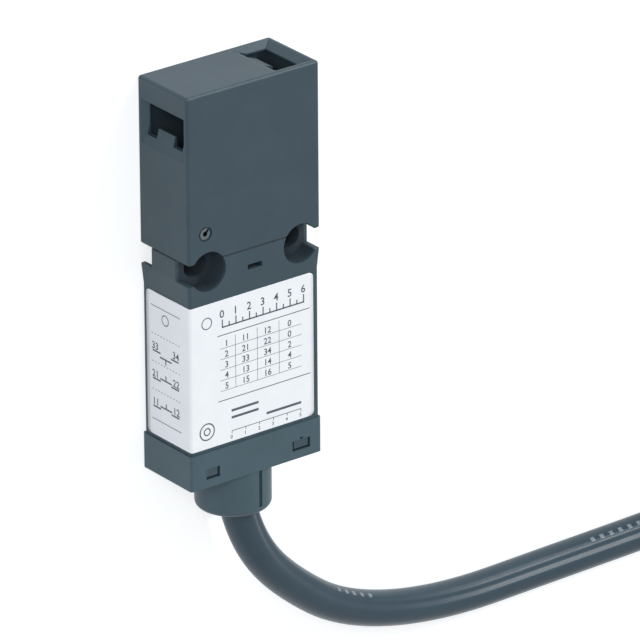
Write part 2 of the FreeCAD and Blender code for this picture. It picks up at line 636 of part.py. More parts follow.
def cam_carrier():
    """Frame that holds the cam shaft: a floor on the case's spigot and two rounded cheeks."""
    carrier = Piece("cam_carrier")
    depth = ("head_wall + fit_gap", "depth - head_wall - fit_gap")
    carrier.block("Deck", (TOWER_RIGHT + " + fit_gap", HEAD_RIGHT + " - fit_gap"),
                  (SPIGOT_TOP, DECK_TOP), depth)
    inner = "(cam_thick / 2 + cam_side_gap)"
    cheeks = (("Back", "depth / 2 - %s - cheek_thick" % inner, "depth / 2 - " + inner),
              ("Front", "depth / 2 + " + inner, "depth / 2 + %s + cheek_thick" % inner))
    for side, low, high in cheeks:
        carrier.block(side + "Cheek", ("cam_x - cheek_radius", "cam_x + cheek_radius"),
                      (DECK_TOP, "cam_y"), (low, high))
        carrier.round_bar(side + "CheekEnd", "XY_Plane", low, high, "cam_x", "cam_y", "cheek_radius")
    carrier.round_bar("ShaftBore", "XY_Plane", "0", "depth", "cam_x", "cam_y", "shaft_radius", True)
    carrier.round_bar("RodBore", "XZ_Plane", SPIGOT_TOP, DECK_TOP, "cam_x", MIDDLE,
                      "rod_radius + run_gap", True)


def cam_shaft():
    """Steel shaft of the cam, pressed into both cheeks."""
    shaft = Piece("cam_shaft")
    reach = "(cam_thick / 2 + cam_side_gap + cheek_thick)"
    shaft.round_bar("Rod", "XY_Plane", "depth / 2 - " + reach, "depth / 2 + " + reach,
                    "cam_x", "cam_y", "shaft_radius")


# ---------------------------------------------------------------- case

def body_case():
    """Waist with the mounting slots, spigot into the head, and contact chamber open below."""
    case = Piece("body_case")
    relief = ("label_relief - " + HALF, HALF + " - label_relief")
    case.block("Barrel", relief, (CAP_TOP, "seam"), ("label_relief", "depth - label_relief"))
    upper = case.sketch("TaperTop", "XZ_Plane", "waist_low")
    case.outline(upper, [("0 - " + HALF, "0"), (HALF, "0"), (HALF, "depth"), ("0 - " + HALF, "depth")])
    lower = case.sketch("TaperEnd", "XZ_Plane", "taper_low")
    case.outline(lower, [(relief[0], "label_relief"), (relief[1], "label_relief"),
                         (relief[1], "depth - label_relief"), (relief[0], "depth - label_relief")])
    taper = case.body.newObject("PartDesign::AdditiveLoft", "Taper")
    taper.Profile = upper
    taper.Sections = [lower]
    taper.Ruled = True
    doc.recompute()
    case.block("Waist", ("0 - " + HALF, HALF), ("0 - waist_low", "seam"), ("0", "depth"))
    case.soften("OuterEdges", "edge_round", case_corner)
    case.soften("SeamBevel", "seam_bevel", lambda e: at_level(e, "seam"), "PartDesign::Chamfer")
    case.block("Spigot", ("head_wall + fit_gap - " + HALF, HEAD_RIGHT + " - fit_gap"), ("seam", SPIGOT_TOP),
               ("head_wall + fit_gap", "depth - head_wall - fit_gap"))
    case.block("PinTower", ("head_wall + fit_gap - " + HALF, TOWER_RIGHT), (SPIGOT_TOP, "pin_y + tower_over"),
               ("head_wall + fit_gap", "depth - head_wall - fit_gap"))
    neck = "width / 2 - cap_wall - fit_gap"
    case.block("Neck", ("0 - (%s)" % neck, neck), (NECK_END, CAP_TOP),
               ("cap_wall + fit_gap", "depth - cap_wall - fit_gap"))
    tall = ("snap_low + snap_gap - tail_reach", "snap_low + snap_tall - tail_reach")
    deep = ("snap_short", "depth - snap_short")
    case.block("LeftTooth", (SNAP_LEFT[0], SNAP_LEFT[1] + " - snap_gap"), tall, deep)
    case.block("RightTooth", (SNAP_RIGHT[0] + " + snap_gap", SNAP_RIGHT[1] + " - snap_gap"), tall, deep)
    case.block("Chamber", ("0 - " + CHAMBER_RIGHT, CHAMBER_RIGHT), (NECK_END, "0 - chamber_top"),
               (CHAMBER_BACK, CHAMBER_FRONT), True)
    case.round_bar("RodBore", "XZ_Plane", "0 - chamber_top", SPIGOT_TOP, "cam_x", MIDDLE,
                   "rod_radius + run_gap", True)
    case.round_bar("PinHole", "XY_Plane", "0", "depth", "pin_x", "pin_y", "pin_radius", True)
    screw_recesses(case)
    for side, sign in BOTH_SIDES:
        spot = "0 %s slot_pitch / 2" % sign
        reach = (spot, "0 %s width / 2" % sign)
        case.block(side + "FrontChannel", reach, ("0 - seam", "seam"), ("depth - front_bore", "depth"), True)
        case.block(side + "BackChannel", reach, ("0 - seam", "seam"), ("0", "back_bore"), True)
        case.block(side + "Slot", (spot + " - slot_stretch / 2", spot + " + slot_stretch / 2"),
                   ("0 - slot_radius", "slot_radius"), ("0", "depth"), True)
        for end, way in BOTH_SIDES:
            case.round_bar(side + "Slot" + end + "End", "XY_Plane", "0", "depth",
                           "%s %s slot_stretch / 2" % (spot, way), "0", "slot_radius", True)
    case.block("LatchWindow", ("0 - window_wide / 2", "window_wide / 2"),
               ("0 - window_drop - window_tall / 2", "window_tall / 2 - window_drop"),
               ("depth - window_deep", "depth"), True)


# ---------------------------------------------------------------- plunger and contacts

def plunger():
    """Rod that the cam works, with the carriage that holds the moving contacts in its windows."""
    rod = Piece("plunger")
    half = "carriage_wide / 2"
    deep = ("depth / 2 - carriage_deep / 2", "depth / 2 + carriage_deep / 2")
    rod.round_bar("Rod", "XZ_Plane", CARRIAGE_TOP, TIP, "cam_x", MIDDLE, "rod_radius")
    rod.soften("Tip", "tip_round", lambda e: near(ends(e)[0].y, value(TIP)))
    rod.block("Carriage", ("cam_x - " + half, "cam_x + " + half), ("0 - carriage_end", CARRIAGE_TOP), deep)
    for side, pole in (("Back", POLES[0]), ("Front", POLES[2])):
        rod.block(side + "Window", ("cam_x - " + half, "cam_x + " + half),
                  (UPPER_STRIP + " - window_high", UPPER_STRIP),
                  (pole + " - strip_deep / 2 - fit_gap", pole + " + strip_deep / 2 + fit_gap"), True)
    rod.block("LowerWindow", ("cam_x - " + half, "cam_x + " + half), (LOWER_STRIP, "0 - lower_window"),
              (POLES[1] + " - strip_deep / 2 - fit_gap", POLES[1] + " + strip_deep / 2 + fit_gap"), True)
    rod.round_bar("Stud", "XZ_Plane", "0 - carriage_end - stud_high", "0 - carriage_end", "cam_x", MIDDLE,
                  "stud_radius")


def plunger_seal():
    """Rubber ring that wipes the rod, against the top of the chamber."""
    seal = Piece("plunger_seal")
    seal.revolve("Ring", [("rod_radius + run_gap", SEAL_END), ("seal_radius", SEAL_END),
                          ("seal_radius", "0 - chamber_top"), ("rod_radius + keeper_gap", "0 - chamber_top")],
                 "cam_x", MIDDLE)


def seal_keeper():
    """Steel washer that the contact block presses against the seal."""
    keeper = Piece("seal_keeper")
    keeper.round_bar("Disc", "XZ_Plane", BLOCK_TOP, SEAL_END, "cam_x", MIDDLE, "keeper_radius")
    keeper.round_bar("Bore", "XZ_Plane", BLOCK_TOP, SEAL_END, "cam_x", MIDDLE,
                     "rod_radius + keeper_gap", True)


def contact_block():
    """Moulded frame: floor with a spring stud, side walls grooved for the blades, shelves, beam."""
    block = Piece("contact_block")
    inner = "block_wide - block_wall"
    deep = (CHAMBER_BACK + " + fit_gap", CHAMBER_FRONT + " - fit_gap")
    block.block("Frame", ("0 - block_wide", "block_wide"), ("0 - block_end", BLOCK_TOP), deep)
    block.block("Inside", ("0 - (%s)" % inner, inner), (BLOCK_FLOOR_TOP, BLADE_TOP), deep, True)
    block.round_bar("RodHole", "XZ_Plane", BLADE_TOP, BLOCK_TOP, "cam_x", MIDDLE,
                    "rod_radius + beam_gap", True)
    shelf = (LOWER_BLADE + " - blade_thick - shelf", LOWER_BLADE + " - blade_thick")
    middle = (POLES[1] + " - strip_deep", POLES[1] + " + strip_deep")
    for side, sign in BOTH_SIDES:
        reach = ("0 %s (%s)" % (sign, inner), "cam_x %s (contact_reach - contact_radius)" % sign)
        block.block(side + "Shelf", reach, shelf, middle)
    block.round_bar("Stud", "XZ_Plane", BLOCK_FLOOR_TOP, BLOCK_FLOOR_TOP + " + stud_high", "cam_x", MIDDLE,
                    "stud_radius")
    for number, pole in enumerate(POLES):
        top = LOWER_BLADE if number == 1 else BLADE_TOP
        deep = (pole + " - strip_deep / 2", pole + " + strip_deep / 2")
        for side, sign in BOTH_SIDES:
            leg = "0 %s (blade_x - blade_thick / 2)" % sign
            groove = (leg, "0 %s block_wide" % sign)
            passage = (leg, "0 %s (%s)" % (sign, inner))
            block.block("%sGroove%d" % (side, number), groove, ("0 - block_end", top), deep, True)
            block.block("%sPassage%d" % (side, number), passage, (top + " - blade_thick", top), deep, True)


def blade_outline(sign, top):
    """Corners of a fixed contact blade: an arm towards the plunger and a leg along the block."""
    outer = "0 %s (blade_x + blade_thick / 2)" % sign
    inner = "0 %s (blade_x - blade_thick / 2)" % sign
    tip = "cam_x %s (contact_reach - contact_radius)" % sign
    arm = top + " - blade_thick"
    return [(outer, top), (tip, top), (tip, arm), (inner, arm), (inner, BLADE_END), (outer, BLADE_END)]


def compound(label, pieces):
    """One node made of several equal separate solids."""
    item = doc.addObject("Part::Compound", label)
    item.Links = pieces
    return item


def fixed_blades(label, poles, top):
    """The blades of some poles, a left and a right one each."""
    made = []
    for number, pole in enumerate(poles):
        low, high = pole + " - strip_deep / 2", pole + " + strip_deep / 2"
        for side, sign in BOTH_SIDES:
            blade = Piece("%s%d%s" % (label, number, side))
            blade.plate("Blade", blade_outline(sign, top), low, high)
            made.append(blade.body)
    compound(label, made)


def contact_tips(label, levels):
    """Silver tips at both contacts of every pole, each standing between two levels along Y."""
    made = []
    for number, (pole, low, high) in enumerate(levels):
        for side, sign in BOTH_SIDES:
            tip = Piece("%s%d%s" % (label, number, side))
            tip.round_bar("Tip", "XZ_Plane", low, high, "cam_x %s contact_reach" % sign, pole,
                          "contact_radius")
            made.append(tip.body)
    compound(label, made)


def contact_bridges():
    """Moving strips: two in the upper windows, one in the lower."""
    made = []
    for number, (pole, high) in enumerate(((POLES[0], UPPER_STRIP), (POLES[2], UPPER_STRIP),
                                           (POLES[1], LOWER_STRIP + " + strip_thick"))):
        bridge = Piece("contact_bridges%d" % number)
        bridge.block("Strip", ("cam_x - strip_reach", "cam_x + strip_reach"), (high + " - strip_thick", high),
                     (pole + " - strip_deep / 2", pole + " + strip_deep / 2"))
        made.append(bridge.body)
    compound("contact_bridges", made)


def springs():
    """Return spring under the carriage, and a small spring behind each moving strip."""
    x, z = value("cam_x"), value(MIDDLE)
    floor = value(BLOCK_FLOOR_TOP)
    feature("return_spring", coil_spring(value("spring_radius"), value("spring_wire"), value("spring_turns"),
                                         V(x, floor, z), value("0 - carriage_end") - floor))
    small = value("small_radius"), value("small_wire"), value("small_turns")
    length = value("window_high - strip_thick")
    upper = value(UPPER_STRIP + " - window_high")
    lower = value(LOWER_STRIP + " + strip_thick")
    seats = ((POLES[0], upper), (POLES[2], upper), (POLES[1], lower))
    made = [coil_spring(*small, V(x, base, value(pole)), length) for pole, base in seats]
    feature("contact_springs", Part.makeCompound(made))


# ---------------------------------------------------------------- cap, gland and label

def bottom_cap():
    """Cap over the case's neck, with snap windows and the cable boss."""
    cap = Piece("bottom_cap")
    cap.block("Shell", ("0 - " + HALF, HALF), ("0 - tail_reach", CAP_TOP), ("0", "depth"))
    cap.soften("OuterEdges", "edge_round", outer_corner)
    cap.round_bar("Boss", "XZ_Plane", BOSS_END, "0 - tail_reach", "0", MIDDLE, "boss_radius")
    cap.soften("BossEnd", "boss_round", lambda e: near(ends(e)[0].y, value(BOSS_END)))
    cap.block("Inside", ("cap_wall - " + HALF, HALF + " - cap_wall"), (FLOOR_TOP, CAP_TOP),
              ("cap_wall", "depth - cap_wall"), True)
    cap.round_bar("BushBore", "XZ_Plane", BOSS_END + " + boss_lip", FLOOR_TOP, "0", MIDDLE,
                  "bush_radius", True)
    cap.round_bar("LipBore", "XZ_Plane", BOSS_END, BOSS_END + " + boss_lip", "0", MIDDLE, "bush_neck", True)
    tall = ("snap_low - tail_reach", "snap_low + snap_tall - tail_reach")
    cap.block("LeftSnapWindow", SNAP_LEFT, tall, ("0", "depth"), True)
    cap.block("RightSnapWindow", SNAP_RIGHT, tall, ("0", "depth"), True)
    notch = "(width / 2 - snap_right_in)"
    cap.block("SnapNotch", (notch + " - snap_notch_wide / 2", notch + " + snap_notch_wide / 2"),
              (tall[1], tall[1] + " + snap_notch_high"), ("depth / 2", "depth"), True)
    cap.block("BossGroove", ("groove_x - groove_wide / 2", "groove_x + groove_wide / 2"),
              (BOSS_END + " + groove_stop", "0 - tail_reach"),
              ("depth / 2 + boss_radius - groove_deep", "depth"), True)


def cap_gasket():
    """Flat rubber frame between the neck's end and the cap's floor."""
    gasket = Piece("cap_gasket")
    outer = "width / 2 - cap_wall - fit_gap"
    gasket.block("Sheet", ("0 - (%s)" % outer, outer), (FLOOR_TOP, NECK_END),
                 ("cap_wall + fit_gap", "depth - cap_wall - fit_gap"))
    gasket.block("Opening", ("0 - " + CHAMBER_RIGHT, CHAMBER_RIGHT), (FLOOR_TOP, NECK_END),
                 (CHAMBER_BACK, CHAMBER_FRONT), True)


def cable_bush():
    """Rubber bush with an inner flange, a neck in the boss's lip and a bevelled end."""
    bush = Piece("cable_bush")
    lip = BOSS_END + " + boss_lip"
    out = BOSS_END + " - bush_out"
    flange = FLOOR_TOP + " + flange_thick"
    bush.revolve("Profile", [("cable_radius", out), ("bush_neck - bush_bevel", out),
                             ("bush_neck", out + " + bush_bevel"), ("bush_neck", lip), ("bush_radius", lip),
                             ("bush_radius", FLOOR_TOP), ("bush_flange", FLOOR_TOP), ("bush_flange", flange),
                             ("cable_radius", flange)], "0", MIDDLE)


def strain_relief_collar():
    """Crimped metal collar on the sheath, above the bush's flange."""
    collar = Piece("strain_relief_collar")
    low = FLOOR_TOP + " + flange_thick"
    high = low + " + collar_long"
    collar.revolve("Sleeve", [("cable_radius", low), ("collar_radius", low), ("collar_radius", high),
                              ("cable_radius", high)], "0", MIDDLE)


def rating_label():
    """Foil label round the front left corner of the case."""
    label = Piece("rating_label")
    left = "(label_relief - width / 2)"
    front = "(depth - label_relief)"
    corners = [(left + " - label_thick", "label_back"), (left, "label_back"), (left, front),
               ("label_right", front), ("label_right", front + " + label_thick"),
               (left + " - label_thick", front + " + label_thick")]
    label.plate("Foil", corners, CAP_TOP + " + label_margin", "0 - label_top", "XZ_Plane")
    x, z, thick = value(left), value(front), value("label_thick")
    label.soften("InnerBend", "edge_round", lambda e: through(e, x, z))
    label.soften("OuterBend", "edge_round + label_thick", lambda e: through(e, x - thick, z + thick))
    label.soften("Corners", "label_round", label_corner)


def label_corner(edge):
    """Whether an edge crosses the label's thickness at one of its four free corners."""
    point = ends(edge)[0]
    at_end = near(point.x, value("label_right")) or near(point.z, value("label_back"))
    return at_end and edge.Length < 2 * value("label_thick") and not along(edge, 1)


# ---------------------------------------------------------------- cable

def core_wires():
    """Cores from the end of the sheath to the tails of the blades, three to each side."""
    radius = value("core_radius")
    ring = value("core_ring")
    start = value("cable_start - tail_reach")
    end = value(BLADE_END)
    made = []
    for side in (-1, 1):
        for number, pole in enumerate(POLES):
            angle = math.radians(60 * (number - 1))
            x, z = side * ring * math.cos(angle), value(MIDDLE) + ring * math.sin(angle)
            level = (start + end) / 2
            target = side * value("blade_x")
            solid, radii, length = tube([V(x, start, z), V(x, level, z), V(target, level, value(pole)),
                                         V(target, end, value(pole))], radius)
            made.append(solid)
    feature("core_wires", Part.makeCompound(made))


def ring(inner, outer, low, high, start, sweep):
    """A ring of rectangular section about the Z axis, or a part of one, in degrees."""
    corners = [V(inner, 0, low), V(outer, 0, low), V(outer, 0, high), V(inner, 0, high), V(inner, 0, low)]
    face = Part.Face(Part.makePolygon(corners))
    face.rotate(V(0, 0, 0), V(0, 0, 1), start)
    return face.revolve(V(0, 0, 0), V(0, 0, 1), sweep)


def cable_coil(entry_point, heading, used):
    """Closed solid round the coiled cable: two layers of two turns, the last one part way.

    Returns the coil's centre and the angle in degrees at which its last turn ends.
    """
    thick = value("2 * cable_radius")
    middle = value("coil_radius")
    inner_turn, outer_turn = middle - thick / 2, middle + thick / 2
    inward = V(-heading.y, heading.x, 0)
    centre = V(entry_point.x, entry_point.y, 0) + inward * outer_turn
    first = math.degrees(math.atan2(-inward.y, -inward.x))
    planned = first + sum(sweep for sweep, place in COIL_PLAN)
    laid = sum(math.radians(sweep) * (inner_turn + place * thick) for sweep, place in COIL_PLAN)
    last = planned + math.degrees((value("cable_length") - used - laid) / outer_turn)
    outside = planned - COIL_PLAN[-1][0] / 2
    base = value("tie_thick")
    lower = ring(middle - thick, middle + thick, base, base + thick, 0, 360)
    upper = ring(middle - thick, middle, base + thick, base + 2 * thick, 0, 360)
    rest = ring(middle, middle + thick, base + thick, base + 2 * thick, outside, last - outside)
    solid = lower.fuse([upper, rest]).removeSplitter()
    rim = [e for e in solid.Edges if e.Curve.TypeId == "Part::GeomCircle"
           and near(e.Curve.Radius, middle + thick) and near(ends(e)[0].z, base)]
    solid = solid.makeFillet(value("coil_edge"), rim)
    solid.translate(centre)
    feature("cable_coil", solid)
    return centre, last


def cable_tie(centre):
    """Strap round both layers of the coil, with its locking head on the outside."""
    thick = value("2 * cable_radius")
    strap, wide, over = value("tie_thick"), value("tie_wide"), value("tie_head_over")
    inner, outer, high = value("coil_radius") - thick, value("coil_radius") + thick, 2 * thick

    def sleeve(extra, width):
        return Part.makeBox(outer - inner + 2 * extra, width, high + 2 * extra,
                            V(inner - extra, -width / 2, strap - extra))

    band = sleeve(strap, wide)
    band = band.makeFillet(value("tie_round"), [e for e in band.Edges if along(e, 1)])
    band = band.cut(sleeve(value("fit_gap"), 2 * wide))
    side = wide + 2 * over
    corner = V(outer + strap, -side / 2, strap + high / 2 - side / 2)
    head = Part.makeBox(value("tie_head_thick"), side, side, corner)
    tie = band.fuse(head).removeSplitter()
    tie.rotate(V(0, 0, 0), V(0, 0, 1), value("tie_angle"))
    tie.translate(centre)
    feature("cable_tie", tie)


def stripped_end(centre, last):
    """Six cores that leave the cut sheath and lie along the lower turns, with bare tips."""
    thick = value("2 * cable_radius")
    turn = value("coil_radius") + thick / 2
    height = value("tie_thick") + 1.5 * thick
    lift = value("core_lift")
    rest = value("tie_thick") + thick + value("core_radius") + lift
    long = value("core_long")

    def spot(offset, run, level):
        angle = math.radians(last + math.degrees(run / turn))
        return centre + V((turn + offset) * math.cos(angle), (turn + offset) * math.sin(angle), level)

    cores, tips = [], []
    for place, number in enumerate(FAN_ORDER):
        angle = math.radians(60 * number + 30)
        across, up = value("core_ring") * math.cos(angle), value("core_ring") * math.sin(angle)
        fan = (place - 2) * value("core_pitch")
        level = rest + value("core_step") * (place % 2)
        points = [spot(across, value("core_gap"), height + up),
                  spot(across, long * FAN_START, height + up - lift),
                  spot((across + fan) / 2, long * FAN_HALF, level + lift), spot(fan, long, level)]
        core, radii, length = tube(points, value("core_radius"))
        cores.append(core)
        direction = points[-1] - points[-2]
        direction.normalize()
        tips.append(Part.makeCylinder(value("core_bare"), value("bare_long"), points[-1], direction))
    feature("stripped_cores", Part.makeCompound(cores))
    feature("core_ends", Part.makeCompound(tips))


def cable():
    """Cable from inside the cap, out of the boss, round to the right and into the coil."""
    sheath, radii, length = tube(list(ROUTE), value("cable_radius"))
    feature("cable_sheath", sheath)
    print("cable bend radii:", ", ".join("%.1f" % radius for radius in radii))
    hidden = value("cable_start + boss_long")
    heading = ROUTE[-1] - ROUTE[-2]
    heading.z = 0
    heading.normalize()
    centre, last = cable_coil(ROUTE[-1], heading, length - hidden)
    print("cable beyond the boss before the coil: %.1f mm" % (length - hidden))
    print("coil centre %.2f, %.2f; last turn ends at %.1f degrees" % (centre.x, centre.y, last))
    cable_tie(centre)
    stripped_end(centre, last)


# ---------------------------------------------------------------- build and export

head_housing()
head_pin()
operating_cam()
cam_carrier()
cam_shaft()
body_case()
plunger()
plunger_seal()
seal_keeper()
contact_block()
fixed_blades("nc_terminals", (POLES[0], POLES[2]), BLADE_TOP)
fixed_blades("no_terminals", (POLES[1],), LOWER_BLADE)
UPPER_TIP = BLADE_TOP + " - blade_thick"
contact_tips("fixed_contact_tips", ((POLES[0], UPPER_TIP + " - contact_tip", UPPER_TIP),
                                    (POLES[2], UPPER_TIP + " - contact_tip", UPPER_TIP),
                                    (POLES[1], LOWER_BLADE, LOWER_BLADE + " + contact_tip")))
contact_tips("bridge_contact_tips", ((POLES[0], UPPER_STRIP, UPPER_STRIP + " + contact_tip"),
                                     (POLES[2], UPPER_STRIP, UPPER_STRIP + " + contact_tip"),
                                     (POLES[1], LOWER_STRIP + " - contact_tip", LOWER_STRIP)))
contact_bridges()
springs()
bottom_cap()
cap_gasket()
cable_bush()
strain_relief_collar()
rating_label()
core_wires()
cable()

NODES = ("head_housing", "head_pin", "operating_cam", "cam_carrier", "cam_shaft", "body_case", "plunger",
         "plunger_seal", "seal_keeper", "contact_block", "nc_terminals", "no_terminals",
         "fixed_contact_tips", "bridge_contact_tips", "contact_bridges", "return_spring",
         "contact_springs", "bottom_cap", "cap_gasket", "cable_bush", "strain_relief_collar",
         "rating_label", "core_wires", "cable_sheath", "cable_coil", "cable_tie", "stripped_cores",
         "core_ends")

doc.recompute()
for item in doc.Objects:
    bad = [state for state in item.State if state in ("Invalid", "Error")]
    assert not bad, "%s: %s" % (item.Label, bad)

os.makedirs("parts", exist_ok=True)
for node in NODES:
    shape = doc.getObjectsByLabel(node)[0].Shape
    assert not shape.isNull() and shape.isValid() and shape.Volume > 0, "%s is not a valid solid" % node
    shape.exportStep("parts/%s.step" % node)
    print("%-22s %2d solids %9.2f mm3" % (node, len(shape.Solids), shape.Volume))
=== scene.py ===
"""Finishes, cable, label and loose ends of a tongue interlock switch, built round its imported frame.

Metres, in the row frame: the switch lies on its back, +Z leaves its front face, +X is to the right
and +Y runs from the cable end to the head. The origin is on the back face, between the slots.
"""
import logging
from abc import ABC, abstractmethod
from dataclasses import dataclass, field
from enum import Enum

import bmesh
import bpy
import numpy as np
from mathutils import Matrix, Vector


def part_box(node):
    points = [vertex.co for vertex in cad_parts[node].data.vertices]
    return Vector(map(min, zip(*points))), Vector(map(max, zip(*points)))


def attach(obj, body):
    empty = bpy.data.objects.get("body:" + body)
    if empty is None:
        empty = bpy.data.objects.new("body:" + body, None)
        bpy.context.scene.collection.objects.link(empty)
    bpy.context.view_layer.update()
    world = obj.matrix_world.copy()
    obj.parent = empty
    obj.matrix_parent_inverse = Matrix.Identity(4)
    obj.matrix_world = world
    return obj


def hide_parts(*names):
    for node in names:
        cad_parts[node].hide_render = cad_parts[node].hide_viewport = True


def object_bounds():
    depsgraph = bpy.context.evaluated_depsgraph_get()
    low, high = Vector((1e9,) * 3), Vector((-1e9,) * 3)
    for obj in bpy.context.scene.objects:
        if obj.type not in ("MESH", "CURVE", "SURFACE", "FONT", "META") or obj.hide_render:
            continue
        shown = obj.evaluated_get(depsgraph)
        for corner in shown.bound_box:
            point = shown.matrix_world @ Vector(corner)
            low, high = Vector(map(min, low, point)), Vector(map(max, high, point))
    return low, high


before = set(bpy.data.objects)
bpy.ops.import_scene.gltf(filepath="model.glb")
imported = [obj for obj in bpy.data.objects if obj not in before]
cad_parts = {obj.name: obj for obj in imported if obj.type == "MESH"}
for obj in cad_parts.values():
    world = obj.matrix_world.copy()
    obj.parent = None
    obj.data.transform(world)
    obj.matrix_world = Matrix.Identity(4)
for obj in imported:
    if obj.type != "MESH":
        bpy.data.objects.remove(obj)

LOG = logging.getLogger("interlock")
CAD_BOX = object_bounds()
MM = 0.001
Array = np.ndarray

# Outer box of head, case and cap without the cable boss, lowest and highest corner in metres.
HOUSING_BOX = np.array([[-15.0, -43.0, 0.0], [15.0, 35.0, 15.0]]) * MM


# ---------------------------------------------------------------- numbers, curves and meshes

def linear(hex_colour: str) -> tuple[float, float, float, float]:
    """Turns an sRGB hex colour into linear RGBA.

    Args:
        hex_colour: six hex digits, such as "4b5860".

    Returns:
        The colour as a shader takes it, with alpha 1.
    """
    s = np.array([int(hex_colour[i:i + 2], 16) for i in (0, 2, 4)]) / 255
    light = np.where(s <= 0.04045, s / 12.92, ((s + 0.055) / 1.055) ** 2.4)
    return (*map(float, light), 1.0)


def ease(x: Array) -> Array:
    """Smooth step from 0 to 1: three x squared less two x cubed, held flat outside 0 to 1."""
    t = np.clip(x, 0, 1)
    return t * t * (3 - 2 * t)


def unit(v: Array) -> Array:
    """Scales vectors along the last axis to length one."""
    return v / np.maximum(np.linalg.norm(v, axis=-1, keepdims=True), 1e-12)


def power(v: Array, exponent: float) -> Array:
    """The value's sign times its size raised to the exponent."""
    return np.sign(v) * np.abs(v) ** exponent


def along(path: Array) -> Array:
    """Distance run at each point of a path, from its first point."""
    return np.concatenate([[0], np.cumsum(np.linalg.norm(np.diff(path, axis=0), axis=1))])


def resample(path: Array, count: int) -> Array:
    """Points at even distances along a path, found by straight interpolation of each coordinate.

    Args:
        path: points of the path, one a row.
        count: how many points to give back.

    Returns:
        The evenly spaced points, first and last included.
    """
    run = along(path)
    even = np.linspace(0, run[-1], count)
    return np.stack([np.interp(even, run, path[:, axis]) for axis in range(3)], axis=1)


def add_mesh(name: str, points: Array, faces: Array, smooth: bool = True) -> bpy.types.Object:
    """Makes an object at the origin from points and quad or triangle indices.

    Args:
        name: name of the object.
        points: vertex places, one a row.
        faces: vertex indices, one face a row.
        smooth: whether the faces are shaded smooth.

    Returns:
        The new object, linked into the scene.
    """
    mesh = bpy.data.meshes.new(name)
    mesh.from_pydata(points.reshape(-1, 3).tolist(), [], faces.tolist())
    mesh.polygons.foreach_set("use_smooth", np.full(len(mesh.polygons), smooth))
    mesh.update()
    made = bpy.data.objects.new(name, mesh)
    bpy.context.scene.collection.objects.link(made)
    return made


def grid_faces(rows: int, columns: int, wrap_rows: bool, wrap_columns: bool) -> Array:
    """Quads of a grid: each joins a point to its next row and its next column, wrapping if asked.

    Args:
        rows: rows of points.
        columns: points in each row.
        wrap_rows: whether the last row joins the first.
        wrap_columns: whether the last column joins the first.

    Returns:
        Four point numbers for each quad.
    """
    index = np.arange(rows * columns).reshape(rows, columns)
    down = np.roll(index, -1, axis=0)
    right = np.roll(index, -1, axis=1)
    corner = np.roll(down, -1, axis=1)
    quads = np.stack([index, right, corner, down], axis=-1)
    quads = quads if wrap_rows else quads[:-1]
    quads = quads if wrap_columns else quads[:, :-1]
    return quads.reshape(-1, 4)


def set_uv(thing: bpy.types.Object, uv: Array) -> None:
    """Writes one UV pair per vertex into the piece's UV map.

    Args:
        thing: the piece.
        uv: the pairs, in the order of its vertices.
    """
    mesh = thing.data
    corner = np.empty(len(mesh.loops), dtype=np.int32)
    mesh.loops.foreach_get("vertex_index", corner)
    layer = mesh.uv_layers.new(name="surface")
    layer.data.foreach_set("uv", uv.reshape(-1, 2)[corner].ravel())


def tube_mesh(name: str, path: Array, radius: Array, sides: int, twist: float = 0.0) -> bpy.types.Object:
    """A closed tube round a path that nowhere runs straight up.

    Each ring is the path's point plus the radius times (cosine of the angle times the level
    sideways direction, plus sine of the angle times the direction that completes the frame). The
    end rings are shrunk to a point, so that the tube is closed. UV is distance run and share of a turn.

    Args:
        name: name of the object.
        path: points of the centre line.
        radius: radius at each point, or one row of radii round the ring for each point.
        sides: points round each ring.
        twist: turns of the seam per metre.

    Returns:
        The tube.
    """
    heading = unit(np.gradient(path, axis=0))
    side = unit(np.cross(heading, np.array([0.0, 0.0, 1.0])))
    up = np.cross(side, heading)
    run = along(path)
    share = np.linspace(0, 1, sides + 1)
    angle = 2 * np.pi * (share[None, :] + twist * run[:, None])
    ring = np.cos(angle)[..., None] * side[:, None] + np.sin(angle)[..., None] * up[:, None]
    reach = radius if radius.ndim == 2 else radius[:, None]
    body = path[:, None] + reach[..., None] * ring
    first = np.broadcast_to(path[0], (1, sides + 1, 3))
    last = np.broadcast_to(path[-1], (1, sides + 1, 3))
    points = np.concatenate([first, body, last])
    made = add_mesh(name, points, grid_faces(len(path) + 2, sides + 1, False, False)[:, ::-1])
    far = np.concatenate([run[:1], run, run[-1:]])
    uv = np.stack(np.broadcast_arrays(far[:, None], share[None, :]), axis=-1)
    set_uv(made, uv)
    close_seams(made)
    return made


def close_seams(thing: bpy.types.Object) -> None:
    """Merges the doubled points of a seam or pole and turns the faces outwards.

    Args:
        thing: the piece, still without modifiers.
    """
    work = bmesh.new()
    work.from_mesh(thing.data)
    bmesh.ops.remove_doubles(work, verts=work.verts, dist=1e-6)
    bmesh.ops.dissolve_degenerate(work, edges=work.edges, dist=1e-7)
    bmesh.ops.recalc_face_normals(work, faces=work.faces)
    work.to_mesh(thing.data)
    work.free()


# ---------------------------------------------------------------- finishes

def add_node(material: bpy.types.Material, kind: str, inputs: dict, **settings: object) -> bpy.types.Node:
    """Adds one shader node with its settings, and sets or links its inputs.

    Args:
        material: the material whose tree gets the node.
        kind: the node's type, such as "ShaderNodeTexNoise".
        inputs: socket name or number, with a number, a colour or the output socket to link from.
        settings: plain properties of the node.

    Returns:
        The new node.
    """
    tree = material.node_tree
    node = tree.nodes.new(kind)
    for name, setting in settings.items():
        setattr(node, name, setting)
    for name, given in inputs.items():
        if isinstance(given, bpy.types.NodeSocket):
            tree.links.new(given, node.inputs[name])
        else:
            node.inputs[name].default_value = given
    return node


